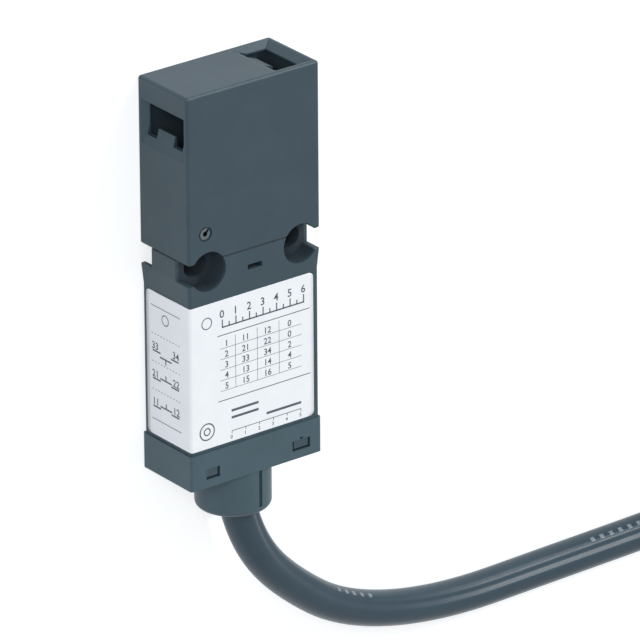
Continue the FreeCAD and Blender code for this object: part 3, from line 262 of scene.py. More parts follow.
def blank(name: str) -> tuple[bpy.types.Material, bpy.types.Node, bpy.types.Node]:
    """An empty material with its main shader joined to the output.

    Args:
        name: name of the material.

    Returns:
        The material, its Principled shader and a Texture Coordinate node.
    """
    material = bpy.data.materials.new(name)
    material.use_nodes = True
    material.node_tree.nodes.clear()
    shader = add_node(material, "ShaderNodeBsdfPrincipled", {})
    add_node(material, "ShaderNodeOutputMaterial", {"Surface": shader.outputs[0]})
    return material, shader, add_node(material, "ShaderNodeTexCoord", {})


def link(material: bpy.types.Material, source: bpy.types.NodeSocket, target: bpy.types.NodeSocket) -> None:
    """Joins an output socket to an input socket."""
    material.node_tree.links.new(source, target)


class Finish(ABC):
    """One real surface: what it is made of and how that surface came about."""

    @abstractmethod
    def material(self) -> bpy.types.Material:
        """Builds the Blender material."""


@dataclass(frozen=True)
class MouldedNylon(Finish):
    """Glass-filled polyamide, injection moulded in a spark-eroded tool with polished core pins.

    To the eye: matt with a broad soft sheen, a fine even grain, faint clouds where the glass lies
    near the skin, and dull rather than sharp highlights on the rounded edges. Faces deeper in than
    the housing's outer box, in its entries and recesses, get painted shade: a darker colour and more
    roughness. A band along the bevelled seam between head and case gets the same painted shade.
    """
    name: str
    colour: str
    cloud_colour: str
    roughness: float = 0.43
    grain_mm: float = 0.35
    uneven: float = 0.06
    grain_depth_mm: float = 0.012
    speck: float = 0.18
    cloud_mm: float = 9.0
    # painted shade in entries, recesses and along the seam: its colour, how much rougher it is, the depth at
    # which it starts and the depth over which it fades in
    core_colour: str = "26323a"
    core_rougher: float = 0.3
    core_depth_mm: float = 0.0
    core_fade_mm: float = 0.25
    seam_mm: float = 2.1
    seam_half_mm: float = 0.2
    ior: float = 1.53
    specular: float = 0.3

    def material(self) -> bpy.types.Material:
        """Noise at the grain's size for the bump and roughness, and slow noise for the clouds.

        Returns:
            The material.
        """
        made, shader, coords = blank(self.name)
        cloud = add_node(made, "ShaderNodeTexNoise", {"Vector": coords.outputs["Object"],
                                                      "Scale": 1 / (self.cloud_mm * MM), "Detail": 3.0,
                                                      "Roughness": 0.6})
        # real spark grain is about 0.1 mm, drawn coarser here so that it shows
        grain = add_node(made, "ShaderNodeTexNoise", {"Vector": coords.outputs["Object"],
                                                      "Scale": 1 / (self.grain_mm * MM), "Detail": 2.0,
                                                      "Roughness": 0.5})
        clouds = add_node(made, "ShaderNodeMapRange", {"Value": cloud.outputs["Fac"], "From Min": 0.35,
                                                       "From Max": 0.65})
        speck = add_node(made, "ShaderNodeMapRange", {"Value": grain.outputs["Fac"], "From Min": 0.3,
                                                      "From Max": 0.7, "To Min": -self.speck,
                                                      "To Max": self.speck})
        share = add_node(made, "ShaderNodeMath", {0: clouds.outputs[0], 1: speck.outputs[0]},
                         operation="ADD", use_clamp=True)
        mix = add_node(made, "ShaderNodeMix", {0: share.outputs[0], 6: linear(self.colour),
                                               7: linear(self.cloud_colour)}, data_type="RGBA")
        gloss = add_node(made, "ShaderNodeMapRange", {"Value": grain.outputs["Fac"],
                                                      "To Min": self.roughness - self.uneven,
                                                      "To Max": self.roughness + self.uneven})
        colour, rough = mix.outputs[2], gloss.outputs[0]
        # painted shade: deep faces and the seam band are mixed towards a darker colour and made rougher
        if self.core_depth_mm:
            dull = self.dull_share(made, coords)
            core = add_node(made, "ShaderNodeMix", {0: dull, 6: colour, 7: linear(self.core_colour)},
                            data_type="RGBA")
            rougher = add_node(made, "ShaderNodeMath", {0: dull, 1: self.core_rougher, 2: rough},
                               operation="MULTIPLY_ADD")
            colour, rough = core.outputs[2], rougher.outputs[0]
        link(made, colour, shader.inputs["Base Color"])
        link(made, rough, shader.inputs["Roughness"])
        bump = add_node(made, "ShaderNodeBump", {"Height": grain.outputs["Fac"], "Strength": 0.5,
                                                 "Distance": self.grain_depth_mm * MM})
        link(made, bump.outputs[0], shader.inputs["Normal"])
        shader.inputs["IOR"].default_value = self.ior
        shader.inputs["Specular IOR Level"].default_value = self.specular
        return made

    def dull_share(self, made: bpy.types.Material, coords: bpy.types.Node) -> bpy.types.NodeSocket:
        """How much painted shade a point gets, from 0 to 1, deep in the housing and on the seam.

        The depth is the least of the distances to the faces of the housing's outer box: half the box
        less the size of the offset from its middle. The share of painted shade goes from 0 to 1 over the
        fade beyond the depth at which it starts, and is 1 within half the seam's width of its middle.

        Args:
            made: the material.
            coords: its Texture Coordinate node.

        Returns:
            The share.
        """
        low, high = HOUSING_BOX
        offset = add_node(made, "ShaderNodeVectorMath", {0: coords.outputs["Object"],
                                                         1: tuple((low + high) / 2)}, operation="SUBTRACT")
        size = add_node(made, "ShaderNodeVectorMath", {0: offset.outputs[0]}, operation="ABSOLUTE")
        inset = add_node(made, "ShaderNodeVectorMath", {0: tuple((high - low) / 2), 1: size.outputs[0]},
                         operation="SUBTRACT")
        axes = add_node(made, "ShaderNodeSeparateXYZ", {"Vector": inset.outputs[0]})
        across = add_node(made, "ShaderNodeMath", {0: axes.outputs[0], 1: axes.outputs[1]},
                          operation="MINIMUM")
        depth = add_node(made, "ShaderNodeMath", {0: across.outputs[0], 1: axes.outputs[2]},
                         operation="MINIMUM")
        # painted shade grows from the depth where it starts over the fade
        full = (self.core_depth_mm + self.core_fade_mm) * MM
        share = add_node(made, "ShaderNodeMapRange", {"Value": depth.outputs[0],
                                                      "From Min": self.core_depth_mm * MM,
                                                      "From Max": full})
        # painted shade along the seam between head and case
        spot = add_node(made, "ShaderNodeSeparateXYZ", {"Vector": coords.outputs["Object"]})
        seam = add_node(made, "ShaderNodeMath", {0: spot.outputs[1], 1: self.seam_mm * MM,
                                                 2: self.seam_half_mm * MM}, operation="COMPARE")
        both = add_node(made, "ShaderNodeMath", {0: share.outputs[0], 1: seam.outputs[0]},
                        operation="MAXIMUM")
        return both.outputs[0]


@dataclass(frozen=True)
class DrawnMetal(Finish):
    """Metal that was rolled, drawn, ground or stamped.

    To the eye: clean metal with fine streaks along one axis and slightly uneven gloss.
    """
    name: str
    colour: str
    worn_colour: str
    roughness: float
    uneven: float = 0.3
    streak_depth_mm: float = 0.004
    streak_mm: float = 0.12
    stretch: tuple[float, float, float] = (1.0, 1.0, 0.08)

    def material(self) -> bpy.types.Material:
        """Noise stretched along the drawing direction drives colour, roughness and bump.

        Returns:
            The material.
        """
        made, shader, coords = blank(self.name)
        grain = add_node(made, "ShaderNodeMapping", {"Vector": coords.outputs["Object"],
                                                     "Scale": self.stretch})
        streaks = add_node(made, "ShaderNodeTexNoise", {"Vector": grain.outputs[0],
                                                        "Scale": 1 / (self.streak_mm * MM), "Detail": 4.0})
        mix = add_node(made, "ShaderNodeMix", {0: streaks.outputs["Fac"], 6: linear(self.colour),
                                               7: linear(self.worn_colour)}, data_type="RGBA")
        link(made, mix.outputs[2], shader.inputs["Base Color"])
        gloss = add_node(made, "ShaderNodeMapRange", {"Value": streaks.outputs["Fac"],
                                                      "To Min": self.roughness * (1 - self.uneven),
                                                      "To Max": self.roughness * (1 + self.uneven)})
        link(made, gloss.outputs[0], shader.inputs["Roughness"])
        bump = add_node(made, "ShaderNodeBump", {"Height": streaks.outputs["Fac"], "Strength": 0.3,
                                                 "Distance": self.streak_depth_mm * MM})
        link(made, bump.outputs[0], shader.inputs["Normal"])
        shader.inputs["Metallic"].default_value = 1.0
        return made


@dataclass(frozen=True)
class MouldedRubber(Finish):
    """Compression-moulded black rubber.

    To the eye: near black, dull, with a dusty bloom in patches.
    """
    name: str = "moulded nitrile rubber"
    colour: str = "2a3138"
    bloom_colour: str = "3a424a"
    bloom_mm: float = 3.0
    skin_mm: float = 0.3
    skin_depth_mm: float = 0.01
    roughness: float = 0.62
    ior: float = 1.52

    def material(self) -> bpy.types.Material:
        """Slow noise for the bloom and fine noise for the skin.

        Returns:
            The material.
        """
        made, shader, coords = blank(self.name)
        bloom = add_node(made, "ShaderNodeTexNoise", {"Vector": coords.outputs["Object"],
                                                      "Scale": 1 / (self.bloom_mm * MM), "Detail": 4.0})
        mix = add_node(made, "ShaderNodeMix", {0: bloom.outputs["Fac"], 6: linear(self.colour),
                                               7: linear(self.bloom_colour)}, data_type="RGBA")
        link(made, mix.outputs[2], shader.inputs["Base Color"])
        skin = add_node(made, "ShaderNodeTexNoise", {"Vector": coords.outputs["Object"],
                                                     "Scale": 1 / (self.skin_mm * MM), "Detail": 2.0})
        bump = add_node(made, "ShaderNodeBump", {"Height": skin.outputs["Fac"], "Strength": 0.4,
                                                 "Distance": self.skin_depth_mm * MM})
        link(made, bump.outputs[0], shader.inputs["Normal"])
        shader.inputs["Roughness"].default_value = self.roughness
        shader.inputs["IOR"].default_value = self.ior
        return made


@dataclass(frozen=True)
class ExtrudedPvc(Finish):
    """Extruded PVC sheath, with a row of plain pale marks printed along it.

    To the eye: smooth, with a soft long highlight.
    """
    name: str = "extruded PVC sheath"
    colour: str = "2b3c48"
    light_colour: str = "324550"
    mark_colour: str = "98a2aa"
    roughness: float = 0.32
    cloud_mm: float = 6.0
    skin_mm: float = 0.4
    skin_depth_mm: float = 0.01
    # where round the sheath the marks' middle is and half their height, in shares of a turn; then
    # how often a stroke and a group of strokes come, and which share of that they fill
    mark_share: float = 0.0
    mark_half: float = 0.022
    stroke_mm: float = 2.3
    stroke_band: tuple[float, float] = (0.2, 0.6)
    group_mm: float = 68.0
    group_band: tuple[float, float] = (0.73, 0.92)
    rub_mm: float = 1.1
    ior: float = 1.54
    specular: float = 0.22

    def material(self) -> bpy.types.Material:
        """Slow noise for the clouds and fine noise for the skin, with the marks on top if it has any.

        Returns:
            The material.
        """
        made, shader, coords = blank(self.name)
        cloud = add_node(made, "ShaderNodeTexNoise", {"Vector": coords.outputs["Object"],
                                                      "Scale": 1 / (self.cloud_mm * MM), "Detail": 3.0})
        base = add_node(made, "ShaderNodeMix", {0: cloud.outputs["Fac"], 6: linear(self.colour),
                                                7: linear(self.light_colour)}, data_type="RGBA")
        colour = base.outputs[2]
        if self.mark_share:
            colour = self.marks(made, coords, colour)
        link(made, colour, shader.inputs["Base Color"])
        fine = add_node(made, "ShaderNodeTexNoise", {"Vector": coords.outputs["Object"],
                                                     "Scale": 1 / (self.skin_mm * MM), "Detail": 2.0})
        skin = add_node(made, "ShaderNodeBump", {"Height": fine.outputs["Fac"], "Strength": 0.25,
                                                 "Distance": self.skin_depth_mm * MM})
        link(made, skin.outputs[0], shader.inputs["Normal"])
        shader.inputs["Roughness"].default_value = self.roughness
        shader.inputs["IOR"].default_value = self.ior
        shader.inputs["Specular IOR Level"].default_value = self.specular
        return made

    def marks(self, made: bpy.types.Material, coords: bpy.types.Node,
              under: bpy.types.NodeSocket) -> bpy.types.NodeSocket:
        """Lays short plain dashes over a colour, where stroke, group and turn are all in their bands.

        They are worked out from UV, which is metres run along the sheath and share of a turn.

        Args:
            made: the sheath's material.
            coords: its Texture Coordinate node.
            under: the colour of the bare sheath.

        Returns:
            The colour with the marks on it.
        """
        def band(source: bpy.types.NodeSocket, period: float, low: float,
                 high: float) -> bpy.types.NodeSocket:
            """1 where the source's share of its period is between low and high, else 0.

            Args:
                source: a socket that gives a length or a turn.
                period: how long a period is.
                low: where the band starts, as a share of the period.
                high: where it ends.

            Returns:
                The socket that gives 1 or 0.
            """
            share = add_node(made, "ShaderNodeMath", {0: source, 1: period}, operation="DIVIDE")
            part = add_node(made, "ShaderNodeMath", {0: share.outputs[0]}, operation="FRACT")
            middle = add_node(made, "ShaderNodeMath", {0: part.outputs[0], 1: (low + high) / 2,
                                                       2: (high - low) / 2}, operation="COMPARE")
            return middle.outputs[0]

        split = add_node(made, "ShaderNodeSeparateXYZ", {"Vector": coords.outputs["UV"]})
        strokes = band(split.outputs[0], self.stroke_mm * MM, *self.stroke_band)
        groups = band(split.outputs[0], self.group_mm * MM, *self.group_band)
        turn = band(split.outputs[1], 1.0, self.mark_share - self.mark_half, self.mark_share + self.mark_half)
        rubbed = add_node(made, "ShaderNodeTexNoise", {"Vector": coords.outputs["UV"],
                                                       "Scale": 1 / (self.rub_mm * MM), "Detail": 1.0})
        kept = add_node(made, "ShaderNodeMapRange", {"Value": rubbed.outputs["Fac"], "From Min": 0.4,
                                                     "From Max": 0.6, "To Min": 0.1, "To Max": 0.95})
        row = add_node(made, "ShaderNodeMath", {0: strokes, 1: groups}, operation="MULTIPLY")
        both = add_node(made, "ShaderNodeMath", {0: row.outputs[0], 1: turn}, operation="MULTIPLY")
        worn = add_node(made, "ShaderNodeMath", {0: both.outputs[0], 1: kept.outputs[0]},
                        operation="MULTIPLY")
        mix = add_node(made, "ShaderNodeMix", {0: worn.outputs[0], 6: under, 7: linear(self.mark_colour)},
                       data_type="RGBA")
        return mix.outputs[2]


@dataclass(frozen=True)
class PrintedFilm(Finish):
    """Coated polyester film, white.

    To the eye: clean white with a satin coat and the faintest mottle.
    """
    name: str = "coated polyester film"
    colour: str = "e9edf2"
    shade_colour: str = "dfe4ea"
    mottle_mm: float = 5.0
    wave_mm: float = 0.03
    roughness: float = 0.38

    def material(self) -> bpy.types.Material:
        """Slow mottle for the colour, and very low waves in the film for the bump.

        Returns:
            The material.
        """
        made, shader, coords = blank(self.name)
        mottle = add_node(made, "ShaderNodeTexNoise", {"Vector": coords.outputs["Object"],
                                                       "Scale": 1 / (self.mottle_mm * MM), "Detail": 3.0})
        mix = add_node(made, "ShaderNodeMix", {0: mottle.outputs["Fac"], 6: linear(self.colour),
                                               7: linear(self.shade_colour)}, data_type="RGBA")
        link(made, mix.outputs[2], shader.inputs["Base Color"])
        bump = add_node(made, "ShaderNodeBump", {"Height": mottle.outputs["Fac"], "Strength": 0.2,
                                                 "Distance": self.wave_mm * MM})
        link(made, bump.outputs[0], shader.inputs["Normal"])
        shader.inputs["Roughness"].default_value = self.roughness
        return made


@dataclass(frozen=True)
class ScreenInk(Finish):
    """Screen-printed ink on the film.

    To the eye: dull dark grey, a little uneven in strength.
    """
    name: str = "screen ink"
    colour: str = "3c444d"
    thin_colour: str = "59626b"
    patch_mm: float = 0.5
    roughness: float = 0.6

    def material(self) -> bpy.types.Material:
        """Fine noise mixes full and thin ink.

        Returns:
            The material.
        """
        made, shader, coords = blank(self.name)
        cover = add_node(made, "ShaderNodeTexNoise", {"Vector": coords.outputs["Object"],
                                                      "Scale": 1 / (self.patch_mm * MM), "Detail": 2.0})
        mix = add_node(made, "ShaderNodeMix", {0: cover.outputs["Fac"], 6: linear(self.colour),
                                               7: linear(self.thin_colour)}, data_type="RGBA")
        link(made, mix.outputs[2], shader.inputs["Base Color"])
        shader.inputs["Roughness"].default_value = self.roughness
        return made


class Core(Enum):
    """Insulation colour of each core, in the order in which they fan out."""
    BROWN = "5f3a22"
    BLUE = "2b5ea6"
    BLACK = "1d1e20"
    WHITE = "e6e4dc"
    RED = "a52a24"
    YELLOW = "d6b52c"


class Finishes:
    """All the finishes of the switch, each built once."""

    def __init__(self) -> None:
        """Builds them, housing first."""
        self.head = MouldedNylon("glass-filled nylon, slate grey, head", "2f414b", "34464f",
                                 core_depth_mm=1.2).material()
        self.case = MouldedNylon("glass-filled nylon, slate grey, case", "2f414b", "34464f",
                                 core_depth_mm=0.55).material()
        # painted light: the cap is the same nylon as head and case, given a lighter colour for the light on
        # the lower part
        self.cap = MouldedNylon("glass-filled nylon, slate grey, cap", "3a4e57", "3e535d",
                                core_depth_mm=0.3).material()
        self.dark = MouldedNylon("glass-filled nylon, black", "1d262b", "232c32", roughness=0.45).material()
        self.cam = MouldedNylon("acetal, oxide red", "764a4d", "7f5255", roughness=0.35,
                                grain_depth_mm=0.006).material()
        self.pale = MouldedNylon("acetal, natural", "dcd8cc", "e4e0d4", roughness=0.35,
                                 grain_depth_mm=0.006).material()
        self.tie = MouldedNylon("tie nylon, black", "1c1e21", "25282c", roughness=0.4,
                                grain_depth_mm=0.006).material()
        self.pin = DrawnMetal("rolled spring steel, blued", "70787f", "5e656b", 0.36).material()
        self.steel = DrawnMetal("ground steel", "b2b6ba", "9a9fa4", 0.3).material()
        self.plate = DrawnMetal("zinc-plated steel", "aab0b6", "c0c4c8", 0.35).material()
        self.wire = DrawnMetal("drawn spring wire", "a4a8ac", "8c9196", 0.3).material()
        self.brass = DrawnMetal("stamped brass", "c8a558", "b38f45", 0.32).material()
        self.bronze = DrawnMetal("spring bronze", "b47f4e", "9f6d41", 0.34).material()
        self.silver = DrawnMetal("contact silver", "d6d5cf", "bdbcb6", 0.25).material()
        self.strand = DrawnMetal("tinned copper strand", "c4c3be", "a7a6a0", 0.32).material()
        self.rubber = MouldedRubber().material()
        self.sheath = ExtrudedPvc(mark_share=0.42).material()
        self.film = PrintedFilm().material()
        self.ink = ScreenInk().material()
        self.cores = {core: ExtrudedPvc("core insulation, " + core.name.lower(), core.value, core.value,
                                        roughness=0.3).material()
                      for core in Core}


def dress(node: str, material: bpy.types.Material) -> None:
    """Gives a CAD node its finish in place of its plain one.

    Args:
        node: name of the node.
        material: its finish.
    """
    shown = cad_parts[node]
    for slot in shown.material_slots:
        slot.material = material
    LOG.info("dressed %s: %s", node, material.name)


def place(piece: bpy.types.Object, material: bpy.types.Material, body: str, slot: str,
          *replaced: str) -> bpy.types.Object:
    """Finishes a new piece, ties it to its body and hides the CAD nodes that it replaces.

    Args:
        piece: the piece.
        material: its finish, added unless it is on the piece already.
        body: the body that it rides on.
        slot: its material slot; not used.
        replaced: names of the CAD nodes that it replaces.

    Returns:
        The piece.
    """
    if material.name not in [m.name for m in piece.data.materials if m]:
        piece.data.materials.append(material)
    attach(piece, body)
    if replaced:
        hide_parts(*replaced)
    LOG.info("built %s: %d faces, %s", piece.name, len(piece.data.polygons), material.name)
    return piece


# ---------------------------------------------------------------- switch

@dataclass
class Mechanism:
    """Head, cam, plunger and contacts: CAD solids that only need their finishes."""
    finishes: Finishes

    def build(self) -> None:
        """Dresses each node by what it is made of."""
        f = self.finishes
        for node, material in (
                ("head_housing", f.head), ("body_case", f.case), ("bottom_cap", f.cap),
                ("head_pin", f.pin), ("operating_cam", f.cam), ("cam_carrier", f.dark),
                ("cam_shaft", f.steel), ("plunger", f.pale), ("plunger_seal", f.rubber),
                ("seal_keeper", f.plate), ("contact_block", f.pale), ("nc_terminals", f.brass),
                ("no_terminals", f.brass), ("fixed_contact_tips", f.silver),
                ("bridge_contact_tips", f.silver), ("contact_bridges", f.bronze),
                ("return_spring", f.wire), ("contact_springs", f.wire), ("cap_gasket", f.rubber),
                ("cable_bush", f.rubber), ("strain_relief_collar", f.plate),
                ("core_wires", f.cores[Core.BLACK])):
            dress(node, material)


@dataclass
class Label:
    """Film label round the front left corner, with a generic diagram printed on it.

    Flat coordinates are millimetres: s runs from the left side's back edge, round the bend and to
    the right across the front, and t runs up from the label's lower edge.
    """
    finishes: Finishes
    bend_mm: float = 0.66
    corner_mm: float = 1.0
    thick_mm: float = 0.1
    ink_lift_mm: float = 0.012
    ruler_step_mm: float = 3.1
    row_step_mm: float = 2.12
    travel_step_mm: float = 3.17
    ring_points: int = 32
    # size of the built-in font for digits one high, and how far their outline is thickened
    font_size: float = 1.35
    font_weight: float = 0.02
    # rows of plain numbers, and where the numbers and the upright rules between them stand
    table: tuple = (("1", "11", "12", "0"), ("2", "21", "22", "0"), ("3", "33", "34", "2"),
                    ("4", "13", "14", "4"), ("5", "15", "16", "5"))
    cells_mm: tuple = (7.2, 11.1, 16.1, 21.6)
    uprights_mm: tuple = (9.6, 14.6, 19.6)
    # contact signs on the flap: height, whether the contact is closed, and its two terminals
    signs: tuple = ((5.6, True, "11", "12"), (11.2, True, "21", "22"), (16.8, False, "33", "34"))
    box: tuple = field(default_factory=lambda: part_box("rating_label"))

    def __post_init__(self) -> None:
        """Works out the edges and the unrolled size from the box of the film's CAD node."""
        low, high = (np.array(corner) / MM for corner in self.box)
        self.left, self.bottom, self.back = low
        self.right, self.top, self.front = high
        self.side = self.front - self.back - self.bend_mm
        self.arc = self.bend_mm * np.pi / 2
        self.across = self.right - self.left - self.bend_mm
        self.width = self.side + self.arc + self.across
        self.height = self.top - self.bottom

    def wrap(self, s: Array, t: Array, lift: float = 0.0) -> Array:
        """Takes flat places round the corner.

        Up to the bend, s climbs the left side; in the bend it is an arc of the bend's radius; past
        it, s runs along the front. A lift moves the surface outwards.

        Args:
            s: flat place across, in millimetres.
            t: flat place up, in millimetres.
            lift: how far outwards, in millimetres.

        Returns:
            Points in metres.
        """
        angle = np.clip((s - self.side) / self.bend_mm, 0, np.pi / 2)
        radius = self.bend_mm + lift
        x = self.left + self.bend_mm - radius * np.cos(angle) + np.clip(s - self.side - self.arc, 0, None)
        z = self.front - self.bend_mm + radius * np.sin(angle) - np.clip(self.side - s, 0, None)
        return np.stack(np.broadcast_arrays(x, self.bottom + t, z), axis=-1) * MM

    def sheet(self) -> bpy.types.Object:
        """The film: a grid whose ends are drawn in along a quarter circle at each corner.

        Returns:
            The film, with its thickness left to a modifier.
        """
        r = self.corner_mm
        ease_in = r * (1 - np.cos(np.linspace(0, np.pi / 2, 8)))
        t = np.concatenate([ease_in, self.height - ease_in[::-1]])
        edge = np.minimum(np.minimum(t, self.height - t), r)
        inset = r - np.sqrt(np.maximum(r * r - (r - edge) ** 2, 0))
        bend = np.linspace(self.side, self.side + self.arc, 9)
        s = np.concatenate([[0, 1.2, 3], bend, np.linspace(self.side + self.arc + 2, self.width - 1.2, 12),
                            [self.width]])
        s = inset[:, None] + s[None, :] * ((self.width - 2 * inset) / self.width)[:, None]
        points = self.wrap(s, t[:, None])
        film = add_mesh("rating_label_film", points, grid_faces(*s.shape, False, False))
        wall = film.modifiers.new("thickness", "SOLIDIFY")
        wall.thickness = self.thick_mm * MM
        wall.offset = -1
        return place(film, self.finishes.film, "switch", "label_film", "rating_label")

    def bars(self) -> Array:
        """Printed rectangles, all of them plain rules, ticks and dashes.

        Returns:
            One rectangle a row as s, t, width and height, in millimetres.
        """
        front = self.side + self.arc
        ruler = [(front + 6.6 + self.ruler_step_mm / 2 * k, 23.4, 0.26, 0.8 if k % 2 else 1.5)
                 for k in range(13)]
        rules = [(front + 6.6, 23.2, 18.86, 0.3), (front + 5.6, 21.7, 21.2, 0.17),
                 (front + 5.6, 8.6, 21.2, 0.17)]
        rows = [(front + 6.2, 19.05 - self.row_step_mm * k, 18.6, 0.09) for k in range(len(self.table))]
        columns = [(front + x, 10.57, 0.09, 10.6) for x in self.uprights_mm]
        travel = [(front + 8.6, 5.9, 6.2, 0.5), (front + 8.6, 4.5, 6.2, 0.5), (front + 16.6, 3.1, 8.0, 0.5),
                  (front + 8.6, 2.0, 16.0, 0.14)]
        travel += [(front + 8.6 + self.travel_step_mm * k, 1.55, 0.14, 0.5) for k in range(6)]
        dots = [(1.6 + 0.9 * k, t, 0.45, 0.12) for k in range(10) for t in (20.3, 14.7, 9.1)]
        flap = [(1.4, 25.9, 9.0, 0.15), (1.4, 3.1, 9.0, 0.15)]
        signs = []
        for level, closed, _, _ in self.signs:
            signs += [(1.8, level, 2.4, 0.32), (7.4, level, 2.4, 0.32),
                      (4.0, level + (0.5 if closed else -0.8), 3.6, 0.32),
                      (5.64, level + (0.8 if closed else -1.7), 0.32, 0.9)]
        return np.array(ruler + rules + rows + columns + travel + dots + flap + signs)

    def ring(self, s: float, t: float, radius: float, line: float) -> tuple[Array, Array]:
        """A flat printed ring: two circles about one flat place, joined by quads.

        Args:
            s: flat place across, in millimetres.
            t: flat place up, in millimetres.
            radius: outer radius.
            line: width of the line.

        Returns:
            Its points and its faces.
        """
        angle = np.linspace(0, 2 * np.pi, self.ring_points + 1)[:-1]
        reach = np.array([radius - line, radius])[:, None]
        points = self.wrap(s + reach * np.cos(angle), t + reach * np.sin(angle), self.ink_lift_mm)
        return points.reshape(-1, 3), grid_faces(2, self.ring_points, False, True)

    def print_bars(self) -> bpy.types.Object:
        """Every bar as one quad a little above the film, with a few plain rings beside them.

        Returns:
            All of it as one piece.
        """
        s, t, wide, tall = self.bars().T
        corners = np.stack([self.wrap(s + a * wide, t + b * tall, self.ink_lift_mm)
                            for a, b in ((0, 0), (1, 0), (1, 1), (0, 1))], axis=1)
        faces = np.arange(len(s) * 4).reshape(-1, 4)
        points, faces = [corners.reshape(-1, 3)], [faces]
        front = self.side + self.arc
        for spot in ((front + 3.0, 3.4, 1.75, 0.26), (front + 3.0, 3.4, 0.8, 0.26),
                     (front + 3.2, 25.0, 1.2, 0.2), (5.8, 24.0, 1.1, 0.2)):
            more, quads = self.ring(*spot)
            faces.append(quads + sum(len(p) for p in points))
            points.append(more)
        ink = add_mesh("rating_label_rules", np.concatenate(points), np.concatenate(faces), smooth=False)
        return place(ink, self.finishes.ink, "switch", "label_film")

    def numbers(self) -> bpy.types.Object:
        """Plain numbers: a ruler, a table of terminals, the terminals' signs and the travel scale.

        Returns:
            All of them as one piece.
        """
        front = self.side + self.arc
        spots = [(str(k), front + 6.1 + self.ruler_step_mm * k, 25.3, 1.6) for k in range(7)]
        for row, cells in enumerate(self.table):
            spots += [(cell, front + x, 19.4 - self.row_step_mm * row, 1.3)
                      for cell, x in zip(cells, self.cells_mm)]
        spots += [(str(k), front + 8.3 + self.travel_step_mm * k, 0.55, 0.75) for k in range(6)]
        for level, _, first, second in self.signs:
            spots += [(first, 1.6, level + 0.5, 1.5), (second, 7.9, level + 0.5, 1.5)]
        work = bmesh.new()
        for digits, s, t, tall in spots:
            work.from_mesh(self.number(digits, s, t, tall))
        mesh = bpy.data.meshes.new("rating_label_numbers")
        work.to_mesh(mesh)
        work.free()
        flat = np.empty(len(mesh.vertices) * 3, dtype=np.float32)
        mesh.vertices.foreach_get("co", flat)
        flat = flat.reshape(-1, 3)
        wrapped = self.wrap(flat[:, 0], flat[:, 1], self.ink_lift_mm)
        mesh.vertices.foreach_set("co", wrapped.astype(np.float32).ravel())
        mesh.update()
        made = bpy.data.objects.new("rating_label_numbers", mesh)
        bpy.context.scene.collection.objects.link(made)
        return place(made, self.finishes.ink, "switch", "label_film")

    def number(self, digits: str, s: float, t: float, tall: float) -> bpy.types.Mesh:
        """One number in the built-in font as a flat mesh at its place on the unrolled label.

        Args:
            digits: the number.
            s: flat place of its left edge, in millimetres.
            t: flat place of its foot, in millimetres.
            tall: height of its digits, in millimetres.

        Returns:
            The mesh, in millimetres.
        """
        text = bpy.data.curves.new("number", "FONT")
        text.body = digits
        text.size = tall * self.font_size
        text.offset = tall * self.font_weight
        text.resolution_u = 3
        setter = bpy.data.objects.new("number_setter", text)
        bpy.context.scene.collection.objects.link(setter)
        mesh = bpy.data.meshes.new_from_object(setter)
        bpy.data.objects.remove(setter)
        mesh.materials.clear()
        mesh.transform(Matrix.Translation((s, t, 0)))
        return mesh

    def build(self) -> None:
        """Film first, then what is printed on it."""
        self.sheet()
        self.print_bars()
        self.numbers()


# ---------------------------------------------------------------- cable

